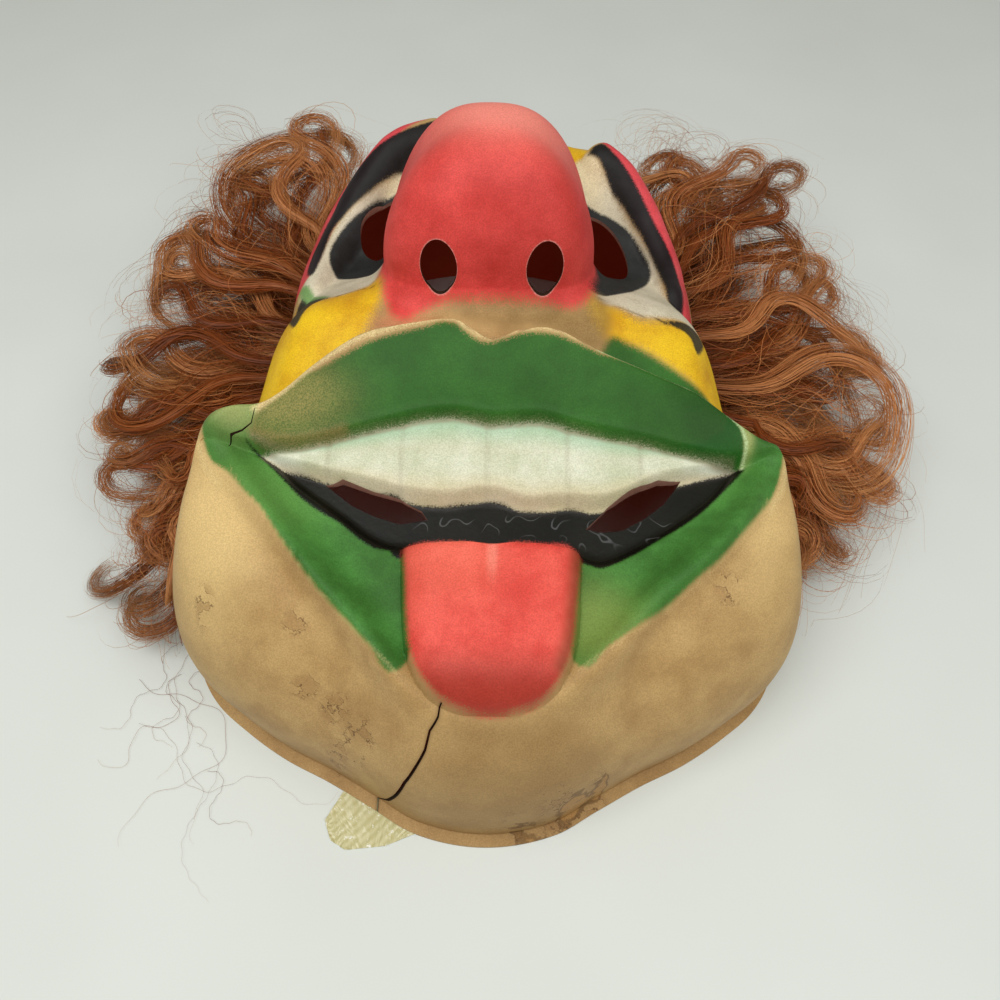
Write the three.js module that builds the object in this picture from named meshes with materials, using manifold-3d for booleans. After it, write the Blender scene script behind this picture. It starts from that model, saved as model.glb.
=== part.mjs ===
import * as THREE from 'three';
import Module from 'manifold-3d';

// Clown mask lying on its rim, face up. Millimetres, +X the viewer's right,
// +Y from chin to forehead, +Z up. Shaped from y = 0 at the chin, then centred.

// Shell
const WALL = 1.2;
const FLANGE = 4;
const COLUMNS = 34;
const ROWS = 41;
const SPREAD = 1.4;
// Rows of the skin are closer together over the mouth
const ROW_SHARE = [[-1, -1], [-0.67, -0.72], [-0.36, -0.43], [0.32, 0.05], [0.68, 0.53], [1, 1]];
const CENTRE_Y = 140;
const MASK_LENGTH = 283;
const RIM_POINTS = [
  [0, 0], [24, 4.2], [39, 12.3], [54.5, 20.8], [71, 28.7], [86, 38.3], [99, 49], [107, 62], [110, 80],
  [108, 104], [103, 132], [99, 160], [96, 190], [90, 220], [76, 248], [52, 271], [22, 282], [0, MASK_LENGTH],
];

// Height along the middle, its fall to the sides, and how the side wall rises: [y, value]
const CROWN = [
  [0, 58], [20, 63], [40, 68], [60, 72], [80, 75], [100, 79], [115, 83], [130, 88], [145, 94],
  [160, 97], [180, 93], [200, 89], [220, 92], [240, 101], [255, 103], [270, 98], [290, 86],
];
const FALL = [
  [0, 14], [40, 10], [80, 6], [110, 8], [130, 16], [150, 27], [170, 36], [190, 38], [215, 34], [245, 42],
  [285, 56],
];
const RISE_WIDTH = [
  [0, 24], [60, 20], [100, 15], [115, 13], [127, 14], [140, 26], [155, 28], [180, 30], [205, 24], [240, 22],
  [283, 30],
];
const FLANK_FULLNESS = 0.35;
const RISE_POWER = [[0, 2.3], [60, 2.5], [125, 2.5], [140, 2], [150, 2.1], [285, 2.1]];
const TEMPLE_DIP = 4;
const BELLY = [
  [0, 0], [20, 1], [45, 3], [70, 4.5], [95, 3], [115, 2], [140, 0], [180, 0], [220, 2], [283, 0],
];

// Mouth lines as [x, y]
const LIP_TOP = [
  [-98, 112], [-88, 119], [-76, 122], [-69, 126], [-58, 134], [-43, 141.5], [-24, 144.5], [-12, 145],
  [-1, 139.5], [10, 142.5], [20, 143], [35, 137], [55, 131], [68, 127.5], [80, 120], [90, 113.5], [98, 110],
];
const LIP_BOTTOM = [
  [-96, 110], [-80, 108], [-62, 107.5], [-49, 110], [-36, 113], [-23, 116], [-12, 117], [0, 115], [16, 116],
  [29, 113], [49, 110], [69, 107], [84, 106], [96, 108],
];
const TEETH_EDGE = [
  [-94, 108], [-78, 107], [-69, 103], [-55, 98.5], [-38, 94], [-26, 91], [-14, 90], [0, 92], [12, 89],
  [24, 90], [34, 89.5], [44, 92.5], [52, 97], [66, 101.5], [84, 105.5], [94, 107],
];
const MOUTH_FLOOR = [
  [-92, 108], [-78, 106.5], [-62, 94], [-48, 84], [-36, 75.5], [-26, 73], [26, 72], [35, 69.5], [47, 74.5],
  [60, 82.5], [72, 92], [83, 104], [92, 107],
];
const LOWER_LIP = [
  [-98, 110], [-90, 105], [-79, 92], [-66, 76.5], [-52, 60], [-38, 44.5], [-28, 33], [-14, 25], [0, 24],
  [14, 25], [28, 32.5], [38, 40], [52, 56], [67, 69], [80, 83], [91, 98], [98, 108],
];
const LIP_HEIGHT = [[0, 13], [40, 13], [75, 10], [92, 6], [99, 1], [110, 0]];
const LIP_STEP = 0.42;
const TEETH_HEIGHT = [[0, 6], [60, 6], [94, 0]];
const FLOOR_DEPTH = 4;
const CREST = { height: 7, inward: 10, outward: 4.8 };

// Tongue
const TONGUE_X = 0.8;
const TONGUE_WIDTH = [[24, 8], [28, 17], [35, 23], [48, 26.5], [72, 28], [80, 27.5]];
const TONGUE_TIP = 24;
const TONGUE_ROOT = 71;
const TONGUE_HEIGHT = 9.5;

// Nose
const NOSE = { x: -2, y: 194.5, halfWidth: 38, halfLength: 34.5, height: 47 };
const NOSE_SQUARENESS = { front: 3.8, back: 2.8 };
const NOSE_DOME = 2.1;
const FLARE_HEIGHT = 6;
const FLARE_REACH = 0.2;
const NOSTRIL = { halfWidth: 6.2, halfHeight: 10, z: 110 };
const NOSTRIL_X = [-18.5, 17];

// Brows as middle lines, the left one reaching higher
const BROW_LEFT = [[-26, 251], [-42, 241], [-56, 224], [-66, 205], [-73, 186]];
const BROW_RIGHT = [[43, 241], [52, 235], [62, 223], [70, 205], [73, 188]];
const BROW_HALF = 9;
const BROW_HEIGHT = 8;

// Eye holes, mouth slots and cracks
const EYES = [
  { x: -38, y: 213, halfWidth: 15.2, halfLength: 11.5 },
  { x: 39, y: 204, halfWidth: 14.2, halfLength: 16 },
];
const SLOTS = [
  [
    [-54, 97.5], [-45, 90.5], [-38, 87], [-29, 84], [-20, 85.5], [-22, 88.5], [-29, 92], [-38, 94.5],
    [-48, 97.8],
  ],
  [
    [63, 101], [55, 99.5], [49, 97], [43, 93.5], [38, 90.5], [31, 83.5], [36, 82.5], [43, 83.5], [50, 87.5],
    [57, 93],
  ],
];
const CHIN_CRACK = [
  [-13, 67], [-14, 63], [-16.5, 59], [-18, 53], [-21, 46], [-25, 36], [-29, 22], [-33, 9], [-38, -1],
];
const CORNER_CRACK = [[-77, 117], [-78, 113], [-81, 111], [-84.5, 109.5], [-85.5, 107], [-85, 103]];
const CRACK_WIDTH = [0.5, 1.6];

// Repair tape under the chin rim
const TAPE_THICK = 0.4;
const TAPE_OUTLINE = [
  [-54.6, 8.2], [-52.1, 1.8], [-46.7, -1.3], [-33.4, 0.1], [-22.5, 4.6], [-27, 15.5], [-46, 24],
];

// Hair: fans of wavy locks lying beside the mask
const LOCKS = 7;
const LOCK_SIDES = 6;
const LOCK_STEPS = 9;
const LOCK_GAP = 0.4;
const HAIR_HUB = [88, 182];
const LEFT_REACH = [
  [-76, 134], [-60, 98], [-41, 80], [-20, 72], [0, 73], [20, 82], [38, 98], [48, 126], [62, 156], [86, 168],
];
const RIGHT_REACH = [
  [-62, 88], [-47, 90], [-33, 83], [-14, 78], [5, 79], [27, 92], [43, 110], [54, 136], [66, 158], [86, 170],
];

const clamp = (v, lo, hi) => Math.min(Math.max(v, lo), hi);

// Smooth curve through a table of [x, value]
function along(table, at) {
  const last = table.length - 1;
  const x = clamp(at, table[0][0], table[last][0]);
  let i = 0;
  while (i < last - 1 && x >= table[i + 1][0]) i += 1;
  const before = table[Math.max(i - 1, 0)];
  const a = table[i];
  const b = table[i + 1];
  const after = table[Math.min(i + 2, last)];
  const step = b[0] - a[0];
  const f = (x - a[0]) / step;
  const inward = (step * (b[1] - before[1])) / (b[0] - before[0]);
  const outward = (step * (after[1] - a[1])) / (after[0] - a[0]);
  const f2 = f * f;
  const f3 = f2 * f;
  const near = (2 * f3 - 3 * f2 + 1) * a[1] + (f3 - 2 * f2 + f) * inward;
  return near + (3 * f2 - 2 * f3) * b[1] + (f3 - f2) * outward;
}

function ease(from, to, v) {
  const t = clamp((v - from) / (to - from), 0, 1);
  return t * t * (3 - 2 * t);
}

const lump = (x, y, cx, cy, rx, ry) => Math.exp(-(((x - cx) / rx) ** 2) - ((y - cy) / ry) ** 2);

// Distance from a point to a chain of straight pieces
function distance(x, y, chain) {
  let best = Infinity;
  for (let i = 0; i + 1 < chain.length; i += 1) {
    const [ax, ay] = chain[i];
    const dx = chain[i + 1][0] - ax;
    const dy = chain[i + 1][1] - ay;
    const t = clamp(((x - ax) * dx + (y - ay) * dy) / (dx * dx + dy * dy), 0, 1);
    best = Math.min(best, Math.hypot(x - ax - t * dx, y - ay - t * dy));
  }
  return best;
}

const RIM_POLAR = RIM_POINTS.map(([x, y]) => [
  (Math.atan2(y - CENTRE_Y, x) * 180) / Math.PI,
  Math.hypot(x, y - CENTRE_Y),
]);
const RIM_TABLE = [
  [-180 - RIM_POLAR[1][0], RIM_POLAR[1][1]],
  ...RIM_POLAR,
  [180 - RIM_POLAR.at(-2)[0], RIM_POLAR.at(-2)[1]],
];

// Rim radius about the middle of the mask, the same on both sides
function rimRadius(angle) {
  const folded = Math.atan2(Math.sin(angle), Math.abs(Math.cos(angle)));
  return along(RIM_TABLE, (folded * 180) / Math.PI);
}

// 0 at the middle of the nose, 1 at its foot
function noseRadius(x, y) {
  const squareness = y < NOSE.y ? NOSE_SQUARENESS.front : NOSE_SQUARENESS.back;
  const across = Math.abs((x - NOSE.x) / NOSE.halfWidth) ** squareness;
  const lengthwise = Math.abs((y - NOSE.y) / NOSE.halfLength) ** squareness;
  return (across + lengthwise) ** (1 / squareness);
}

// Height of the face before the side walls cut it down
function faceHeight(x, y) {
  const side = Math.abs(x);
  let z = along(CROWN, y) - along(FALL, y) * (side / 100) ** 2.2;
  z += 3 * lump(side, y, 80, 62, 22, 26) - 3.5 * lump(side, y, 50, 20, 12, 30);
  z += 6 * lump(side, y, 62, 158, 22, 18) - 8 * lump(side, y, 46, 205, 20, 17);
  z -= 7 * lump(x, y, 28, 252, 13, 16) + 4 * lump(x, y, -24, 254, 12, 12);
  z += 9 * lump(x, y, -90, 121, 10, 9) + 3 * lump(x, y, 91, 114, 9, 9);
  const lipTop = along(LIP_TOP, x);
  const lipBottom = along(LIP_BOTTOM, x);
  const upLip = clamp((y - lipBottom) / (lipTop - lipBottom), 0, 1);
  const bulge = LIP_STEP + (1 - LIP_STEP) * upLip + 0.14 * Math.sin(Math.PI * upLip);
  z += along(LIP_HEIGHT, side) * bulge * ease(-1, 1.5, y - lipBottom) * ease(-3, 4, lipTop - y);
  if (side < 96) {
    const open = ease(-1, 4, lipBottom + 2 - y);
    z -= FLOOR_DEPTH * ease(-1, 4, y - along(MOUTH_FLOOR, x)) * open;
    z += along(TEETH_HEIGHT, side) * ease(-0.5, 3, y - along(TEETH_EDGE, x)) * open;
  }
  const crest = y - along(LOWER_LIP, x) - 1;
  const ridge = Math.exp(-((crest / (crest > 0 ? CREST.inward : CREST.outward)) ** 2));
  z += CREST.height * ridge * ease(104, 96, side) * ease(14, 34, side);
  if (y > TONGUE_TIP) {
    const across = clamp(Math.abs(x - TONGUE_X) / along(TONGUE_WIDTH, y), 0, 1);
    const end = clamp((y - TONGUE_TIP) / 12, 0, 1);
    const root = 1 - ease(TONGUE_ROOT, TONGUE_ROOT + 5, y);
    z += TONGUE_HEIGHT * Math.sqrt(1 - across ** 4) * Math.sqrt(end * (2 - end)) * root;
  }
  const r = noseRadius(x, y);
  z += NOSE.height * Math.max(1 - r ** NOSE_DOME, 0) ** (1 / NOSE_DOME);
  z += FLARE_HEIGHT * clamp(1 - (r - 1) / FLARE_REACH, 0, 1) ** 2;
  for (const brow of [BROW_LEFT, BROW_RIGHT]) {
    z += BROW_HEIGHT * Math.max(1 - (distance(x, y, brow) / BROW_HALF) ** 2, 0) ** 0.8;
  }
  return z;
}

// Grid rows bent so that they run along the mouth lines
function followMouth(x, y) {
  const lower = along(LOWER_LIP, x);
  const floor = Math.max(along(MOUTH_FLOOR, x), lower + 1);
  const teeth = Math.max(along(TEETH_EDGE, x), floor + 1.2);
  const under = Math.max(along(LIP_BOTTOM, x), teeth + 1.2);
  const over = Math.max(along(LIP_TOP, x), under + 2.5);
  const from = [0, 16, 25, 30, 68, 75, 85, 91, 109, 113, 138, 145, 175, MASK_LENGTH + 1];
  const step = Math.min((under - floor) / 24, 1);
  const to = [
    0, lower * 0.78, lower, Math.min(lower + 5, (lower + floor) / 2), floor - step, floor + 3.5 * step,
    teeth - 0.5 * step, teeth + 3 * step, under - step, under + 1.5 * step, over - 4 * step, over + 3 * step,
    175 + 0.15 * (over - 143), MASK_LENGTH + 1,
  ];
  let i = 0;
  while (i < from.length - 2 && y >= from[i + 1]) i += 1;
  return to[i] + ((to[i + 1] - to[i]) * (y - from[i])) / (from[i + 1] - from[i]);
}

// A point of the outer skin by column and row
function skin(column, row) {
  const edge = column === 0 || row === 0 || column === COLUMNS || row === ROWS;
  const p = clamp((2 * column - COLUMNS) / (COLUMNS - (edge ? 0 : 2)), -1, 1);
  const q = along(ROW_SHARE, clamp((2 * row - ROWS) / (ROWS - (edge ? 0 : 2)), -1, 1));
  const u = p * Math.sqrt(1 - (q * q) / 2);
  const v = q * Math.sqrt(1 - (p * p) / 2);
  const angle = Math.atan2(v, u);
  const outer = rimRadius(angle);
  const core = outer - FLANGE;
  if (edge) {
    return [outer * Math.cos(angle), CENTRE_Y + outer * Math.sin(angle), WALL];
  }
  const inset = core * Math.max(1 - Math.hypot(u, v), 0) ** SPREAD;
  const radius = core - inset;
  const lengthwise = CENTRE_Y + radius * Math.sin(angle);
  const power = along(RISE_POWER, lengthwise);
  const moved = (followMouth(radius * Math.cos(angle), lengthwise) - lengthwise) * ease(1, 14, inset);
  const inside = inset + FLANK_FULLNESS * Math.max(moved, 0);
  const low = clamp(1 - inside / along(RISE_WIDTH, lengthwise), 0, 1);
  const rise = Math.max(1 - low ** power, 0) ** (1 / power);
  const swell = along(BELLY, lengthwise) * 4 * rise * (1 - rise);
  let x = (radius + swell) * Math.cos(angle);
  let y = lengthwise + swell * Math.sin(angle) + moved;
  const side = Math.abs(x - TONGUE_X) - along(TONGUE_WIDTH, y);
  x -= Math.sign(x) * 0.6 * side * Math.exp(-((side / 8) ** 2)) * ease(95, 75, y) * ease(8, 30, inset);
  const r = Math.max(noseRadius(x, y), 1e-6);
  const gather = 1 - 0.8 * (1 - 1 / r) * Math.exp(-(((r - 1) / 0.5) ** 2)) * ease(8, 30, inset);
  x = NOSE.x + (x - NOSE.x) * gather;
  y = NOSE.y + (y - NOSE.y) * gather;
  x -= Math.sign(x) * TEMPLE_DIP * rise * lump(Math.abs(x), y, 86, 190, 16, 15);
  return [x, y, faceHeight(x, y) * rise + WALL * (1 - rise)];
}

// Shell as a closed body: outer skin, inner skin and the rim edge
function shellBody() {
  const count = COLUMNS + 1;
  const outer = [];
  for (let j = 0; j <= ROWS; j += 1) {
    for (let i = 0; i <= COLUMNS; i += 1) outer.push(new THREE.Vector3(...skin(i, j)));
  }
  const faces = [];
  for (let j = 0; j < ROWS; j += 1) {
    for (let i = 0; i < COLUMNS; i += 1) {
      const a = j * count + i;
      faces.push([a, a + 1, a + count + 1], [a, a + count + 1, a + count]);
    }
  }
  const normals = outer.map(() => new THREE.Vector3());
  for (const [a, b, c] of faces) {
    const ab = outer[b].clone().sub(outer[a]);
    const n = ab.cross(outer[c].clone().sub(outer[a])).normalize();
    for (const k of [a, b, c]) normals[k].add(n);
  }
  const inner = outer.map((p, k) => {
    const column = k % count;
    const row = Math.floor(k / count);
    const ring = Math.min(column, COLUMNS - column, row, ROWS - row);
    if (ring === 0) return new THREE.Vector3(p.x, p.y, 0);
    if (ring === 1) {
      const back = 1 - WALL / Math.hypot(p.x, p.y - CENTRE_Y);
      return new THREE.Vector3(p.x * back, CENTRE_Y + (p.y - CENTRE_Y) * back, 0);
    }
    return p.clone().addScaledVector(normals[k].normalize(), -WALL);
  });
  const total = outer.length;
  const triangles = [];
  for (const [a, b, c] of faces) triangles.push(a, b, c, a + total, c + total, b + total);
  const border = [];
  for (let i = 0; i < COLUMNS; i += 1) border.push(i);
  for (let j = 0; j < ROWS; j += 1) border.push(j * count + COLUMNS);
  for (let i = COLUMNS; i > 0; i -= 1) border.push(ROWS * count + i);
  for (let j = ROWS; j > 0; j -= 1) border.push(j * count);
  border.forEach((p, k) => {
    const q = border[(k + 1) % border.length];
    triangles.push(p + total, q + total, q, p + total, q, p);
  });
  return solid([...outer, ...inner].flatMap((p) => [p.x, p.y, p.z]), triangles);
}

const kernel = await Module();
kernel.setup();

function solid(positions, triangles) {
  const mesh = new kernel.Mesh({
    numProp: 3,
    vertProperties: new Float32Array(positions),
    triVerts: new Uint32Array(triangles),
  });
  return new kernel.Manifold(mesh);
}

// Straight prism on a closed outline, from one height to another; place turns [u, v, w] into [x, y, z]
function prism(outline, from, to, place = (u, v, w) => [u, v, w]) {
  const corners = outline.map(([u, v]) => new THREE.Vector2(u, v));
  if (THREE.ShapeUtils.isClockWise(corners)) corners.reverse();
  const size = corners.length;
  const positions = [];
  for (const w of [from, to]) for (const corner of corners) positions.push(...place(corner.x, corner.y, w));
  const triangles = [];
  for (const [a, b, c] of THREE.ShapeUtils.triangulateShape(corners, [])) {
    triangles.push(a, c, b, a + size, b + size, c + size);
  }
  for (let k = 0; k < size; k += 1) {
    const next = (k + 1) % size;
    triangles.push(k, next, next + size, k, next + size, k + size);
  }
  return solid(positions, triangles);
}

function oval(cx, cy, rx, ry, steps) {
  const outline = [];
  for (let k = 0; k < steps; k += 1) {
    const t = (2 * Math.PI * k) / steps;
    outline.push([cx + rx * Math.cos(t), cy + ry * Math.sin(t)]);
  }
  return outline;
}

// Outline of the nose's foot, a little outside it
function noseFoot(outside, steps) {
  const ring = oval(NOSE.x, NOSE.y, NOSE.halfWidth, NOSE.halfLength, steps);
  return ring.map(([x, y]) => {
    const grow = 1 / noseRadius(x, y) + outside / NOSE.halfWidth;
    return [NOSE.x + (x - NOSE.x) * grow, NOSE.y + (y - NOSE.y) * grow];
  });
}

// Outline of a crack that widens along its line
function crackOutline(line) {
  const left = [];
  const right = [];
  line.forEach(([u, v], k) => {
    const before = line[Math.max(k - 1, 0)];
    const after = line[Math.min(k + 1, line.length - 1)];
    const length = Math.hypot(after[0] - before[0], after[1] - before[1]);
    const half = (CRACK_WIDTH[0] + ((CRACK_WIDTH[1] - CRACK_WIDTH[0]) * k) / (line.length - 1)) / 2;
    const du = (-(after[1] - before[1]) / length) * half;
    const dv = ((after[0] - before[0]) / length) * half;
    left.push([u + du, v + dv]);
    right.unshift([u - du, v - dv]);
  });
  return [...right, ...left];
}

const upright = (u, v, w) => [u, -w, v];

function maskShell() {
  let body = shellBody();
  const foot = prism(noseFoot(0.8, 36), 40, 140);
  for (const eye of EYES) {
    const hole = prism(oval(eye.x, eye.y, eye.halfWidth, eye.halfLength, 22), 50, 110);
    body = body.subtract(hole.subtract(foot));
  }
  for (const x of NOSTRIL_X) {
    const nostril = oval(x, NOSTRIL.z, NOSTRIL.halfWidth, NOSTRIL.halfHeight, 18);
    body = body.subtract(prism(nostril, -176, -150, upright));
  }
  for (const outline of SLOTS) body = body.subtract(prism(outline, 55, 90));
  body = body.subtract(prism(crackOutline(CHIN_CRACK), -28, 4, upright));
  body = body.subtract(prism(crackOutline(CORNER_CRACK), 60, 100));
  return body.subtract(tapeStrip(0.6));
}

// Flat strip across the rim, or the slot that clears it
function tapeStrip(clearance) {
  const middle = TAPE_OUTLINE.reduce((sum, [u, v]) => [sum[0] + u, sum[1] + v], [0, 0]);
  const cx = middle[0] / TAPE_OUTLINE.length;
  const cy = middle[1] / TAPE_OUTLINE.length;
  const outline = TAPE_OUTLINE.map(([u, v]) => {
    const grow = 1 + clearance / Math.hypot(u - cx, v - cy);
    return [cx + (u - cx) * grow, cy + (v - cy) * grow];
  });
  return prism(outline, clearance > 0 ? -1 : 0.1, 0.1 + TAPE_THICK + clearance * 0.5);
}

// One wavy lock from its root to its curled tip
function lock(root, tip, radius, phase) {
  const positions = [];
  const triangles = [];
  const run = new THREE.Vector3().subVectors(tip, root);
  const across = new THREE.Vector3(-run.y, run.x, 0).normalize();
  const forward = new THREE.Vector3(run.x, run.y, 0).normalize();
  for (let k = 0; k <= LOCK_STEPS; k += 1) {
    const t = k / LOCK_STEPS;
    const wave = Math.sin(phase + t * Math.PI * 3.4) * 7 * Math.sin(Math.min(t * 2.4, 1) * (Math.PI / 2));
    const centre = root.clone().addScaledVector(run, t).addScaledVector(across, wave);
    centre.z += 9 * Math.sin(Math.PI * t) + 4 * Math.cos(phase + t * Math.PI * 3.4) * t;
    const size = radius * (0.75 + 0.35 * Math.sin(Math.PI * Math.min(t * 1.15, 1))) * (1 - 0.35 * t ** 3);
    for (let m = 0; m < LOCK_SIDES; m += 1) {
      const turn = (2 * Math.PI * m) / LOCK_SIDES + 0.3 * k;
      const ring = centre.clone().addScaledVector(across, size * 1.2 * Math.cos(turn));
      positions.push(ring.x, ring.y, ring.z + size * 0.85 * Math.sin(turn));
    }
  }
  const first = positions.length / 3;
  const end = tip.clone().addScaledVector(forward, radius * 0.5);
  positions.push(...root.clone().addScaledVector(forward, -4).toArray(), end.x, end.y, tip.z);
  for (let k = 0; k < LOCK_STEPS; k += 1) {
    for (let m = 0; m < LOCK_SIDES; m += 1) {
      const a = k * LOCK_SIDES + m;
      const b = k * LOCK_SIDES + ((m + 1) % LOCK_SIDES);
      triangles.push(a, a + LOCK_SIDES, b, b, a + LOCK_SIDES, b + LOCK_SIDES);
    }
  }
  for (let m = 0; m < LOCK_SIDES; m += 1) {
    const next = (m + 1) % LOCK_SIDES;
    const last = LOCK_STEPS * LOCK_SIDES;
    triangles.push(first, m, next, first + 1, last + next, last + m);
  }
  const made = solid(positions, triangles);
  return made.volume() < 0 ? solid(positions, triangles.reverse()) : made;
}

// Hair of one side: -1 left, 1 right
function hair(side, reach) {
  let body = null;
  const low = reach[0][0];
  const high = reach.at(-1)[0];
  for (let k = 0; k < LOCKS; k += 1) {
    const degrees = low + ((high - low) * k) / (LOCKS - 1);
    const angle = (degrees * Math.PI) / 180;
    const rootY = HAIR_HUB[1] + 66 * Math.sin(angle) * (degrees > 0 ? 0.95 : 1);
    const rim = rimRadius(Math.atan2(rootY - CENTRE_Y, HAIR_HUB[0]));
    const rootX = rim * Math.cos(Math.atan2(rootY - CENTRE_Y, HAIR_HUB[0]));
    const far = along(reach, degrees);
    const radius = 21 + 2.5 * Math.sin(k * 2.3);
    const root = new THREE.Vector3(side * (rootX - 2), rootY, 34 + 6 * Math.cos(k * 1.7));
    const tip = new THREE.Vector3(
      side * (HAIR_HUB[0] + far * Math.cos(angle)),
      HAIR_HUB[1] + far * Math.sin(angle),
      17 + 3 * Math.sin(k * 1.3),
    );
    const made = lock(root, tip, radius, k * 1.9 + (side > 0 ? 0.8 : 0));
    body = body ? body.add(made) : made;
  }
  const plug = [];
  for (let k = 0; k < 72; k += 1) {
    const angle = (2 * Math.PI * k) / 72;
    const radius = rimRadius(angle) + LOCK_GAP + 0.2;
    plug.push([radius * Math.cos(angle), CENTRE_Y + radius * Math.sin(angle)]);
  }
  body = body.subtract(prism(plug, -30, 160));
  const under = [[-400, -100], [400, -100], [400, 500], [-400, 500]];
  body = body.subtract(prism(under, -60, 0));
  return largest(body);
}

// Only the main body of a cut solid, without loose crumbs
function largest(body) {
  const pieces = body.decompose();
  pieces.sort((a, b) => b.volume() - a.volume());
  return pieces[0];
}

const looks = {
  mask_shell: { color: 0xc4a878, roughness: 0.5, metalness: 0 },
  hair_left: { color: 0xa55a32, roughness: 0.6, metalness: 0 },
  hair_right: { color: 0xa55a32, roughness: 0.6, metalness: 0 },
  repair_tape: { color: 0xd8d6a0, roughness: 0.35, metalness: 0 },
};

const bodies = {
  mask_shell: largest(maskShell()),
  hair_left: hair(-1, LEFT_REACH),
  hair_right: hair(1, RIGHT_REACH),
  repair_tape: tapeStrip(0),
};

const part = new THREE.Group();
part.name = 'clown_mask';
const geometries = {};
const bounds = new THREE.Box3();
for (const [name, body] of Object.entries(bodies)) {
  const mesh = body.getMesh();
  const geometry = new THREE.BufferGeometry();
  geometry.setAttribute('position', new THREE.BufferAttribute(new Float32Array(mesh.vertProperties), 3));
  geometry.setIndex(new THREE.BufferAttribute(new Uint32Array(mesh.triVerts), 1));
  geometry.computeBoundingBox();
  bounds.union(geometry.boundingBox);
  geometries[name] = geometry;
}
const middle = bounds.getCenter(new THREE.Vector3());
for (const [name, geometry] of Object.entries(geometries)) {
  geometry.translate(-middle.x, -middle.y, -bounds.min.z);
  geometry.computeVertexNormals();
  const mesh = new THREE.Mesh(geometry, new THREE.MeshStandardMaterial(looks[name]));
  mesh.name = name;
  part.add(mesh);
}

export default part;
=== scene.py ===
# A painted plastic clown mask lies on its rim, face up, with a tuft of curly hair at each side.
# Sizes are in millimetres from the chin's rim, and are turned into the frame's metres as each mesh is made.
import math

import bmesh
import bpy
import numpy as np
from mathutils import Matrix, Vector


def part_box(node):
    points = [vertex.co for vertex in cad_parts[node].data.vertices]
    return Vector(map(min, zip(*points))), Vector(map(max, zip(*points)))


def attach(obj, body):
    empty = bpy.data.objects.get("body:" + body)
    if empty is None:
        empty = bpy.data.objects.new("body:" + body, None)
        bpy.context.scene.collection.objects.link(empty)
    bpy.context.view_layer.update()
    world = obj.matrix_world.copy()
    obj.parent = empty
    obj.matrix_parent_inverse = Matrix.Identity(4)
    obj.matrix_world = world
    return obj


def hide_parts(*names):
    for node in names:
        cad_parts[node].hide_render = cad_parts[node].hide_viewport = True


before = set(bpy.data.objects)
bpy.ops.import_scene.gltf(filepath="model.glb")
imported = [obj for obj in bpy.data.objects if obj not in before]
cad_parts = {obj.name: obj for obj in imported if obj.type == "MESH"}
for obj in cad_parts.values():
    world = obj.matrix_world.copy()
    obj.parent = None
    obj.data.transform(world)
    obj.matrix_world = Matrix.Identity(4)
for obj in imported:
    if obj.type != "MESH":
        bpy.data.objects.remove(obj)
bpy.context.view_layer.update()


def link(name, data, *materials):
    """A new object at the origin that shows a camera, a lamp, or a mesh with its materials."""
    made = bpy.data.objects.new(name, data)
    bpy.context.scene.collection.objects.link(made)
    for material in materials:
        data.materials.append(material)
    return made


# Camera. A phone held close above the chin looks steeply down at the face, a little turned and tilted,
# which makes the chin large and the forehead small.
CAMERA_BELOW_CHIN = 57.9
CAMERA_HEIGHT = 305.5
CAMERA_ELEVATION = math.radians(57)
CAMERA_TURN = math.radians(-1.24)
CAMERA_ROLL = math.radians(2.05)
FOCAL_SHARE = 0.85
SENSOR = 36
MM = 0.001

shell_low, shell_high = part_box("mask_shell")
chin = Vector(((shell_low.x + shell_high.x) / 2, shell_low.y, 0))

forward = Vector((
    -math.sin(CAMERA_TURN) * math.cos(CAMERA_ELEVATION),
    math.cos(CAMERA_TURN) * math.cos(CAMERA_ELEVATION),
    -math.sin(CAMERA_ELEVATION),
))
level = Vector((math.cos(CAMERA_TURN), math.sin(CAMERA_TURN), 0))
raised = level.cross(forward)
right = level * math.cos(CAMERA_ROLL) + raised * math.sin(CAMERA_ROLL)
up = raised * math.cos(CAMERA_ROLL) - level * math.sin(CAMERA_ROLL)
camera_data = bpy.data.cameras.new("camera")
camera_data.sensor_width = SENSOR
camera_data.lens = SENSOR * FOCAL_SHARE
camera_data.clip_start = 0.01
camera = link("camera", camera_data)
place = Matrix((right, up, -forward)).transposed().to_4x4()
place.translation = chin + Vector((0, -CAMERA_BELOW_CHIN * MM, CAMERA_HEIGHT * MM))
camera.matrix_world = place
bpy.context.scene.camera = camera
bpy.context.scene.view_settings.view_transform = "Standard"

# Table. A plain pale board that the mask lies on, painted matt, so that it takes soft shadows and shows only
# a faint cloudiness.
TABLE_SIZE = 4000
TABLE_MOTTLE = 90


def linear(colour):
    """An sRGB hex colour such as #ddeeff as linear red, green, blue and alpha."""
    parts = [int(colour[k:k + 2], 16) / 255 for k in (1, 3, 5)]
    return [c / 12.92 if c <= 0.04045 else ((c + 0.055) / 1.055) ** 2.4 for c in parts] + [1]


def node(material, kind, settings=None, values=None):
    """Adds a node with its settings, and sets or links each of its inputs, by name or number."""
    made = material.node_tree.nodes.new(kind)
    for name, value in (settings or {}).items():
        setattr(made, name, value)
    for name, value in (values or {}).items():
        if isinstance(value, bpy.types.NodeSocket):
            material.node_tree.links.new(value, made.inputs[name])
        else:
            made.inputs[name].default_value = value
    return made


def finish(name, settings):
    """A new material whose surface shader has the settings, and its object coordinates."""
    material = bpy.data.materials.new(name)
    material.use_nodes = True
    for socket, value in settings.items():
        material.node_tree.nodes["Principled BSDF"].inputs[socket].default_value = value
    return material, node(material, "ShaderNodeTexCoord").outputs["Object"]


def lead(material, source, socket="Base Color"):
    """Leads a pattern into a socket of the material's surface shader."""
    material.node_tree.links.new(source, material.node_tree.nodes["Principled BSDF"].inputs[socket])


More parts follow.
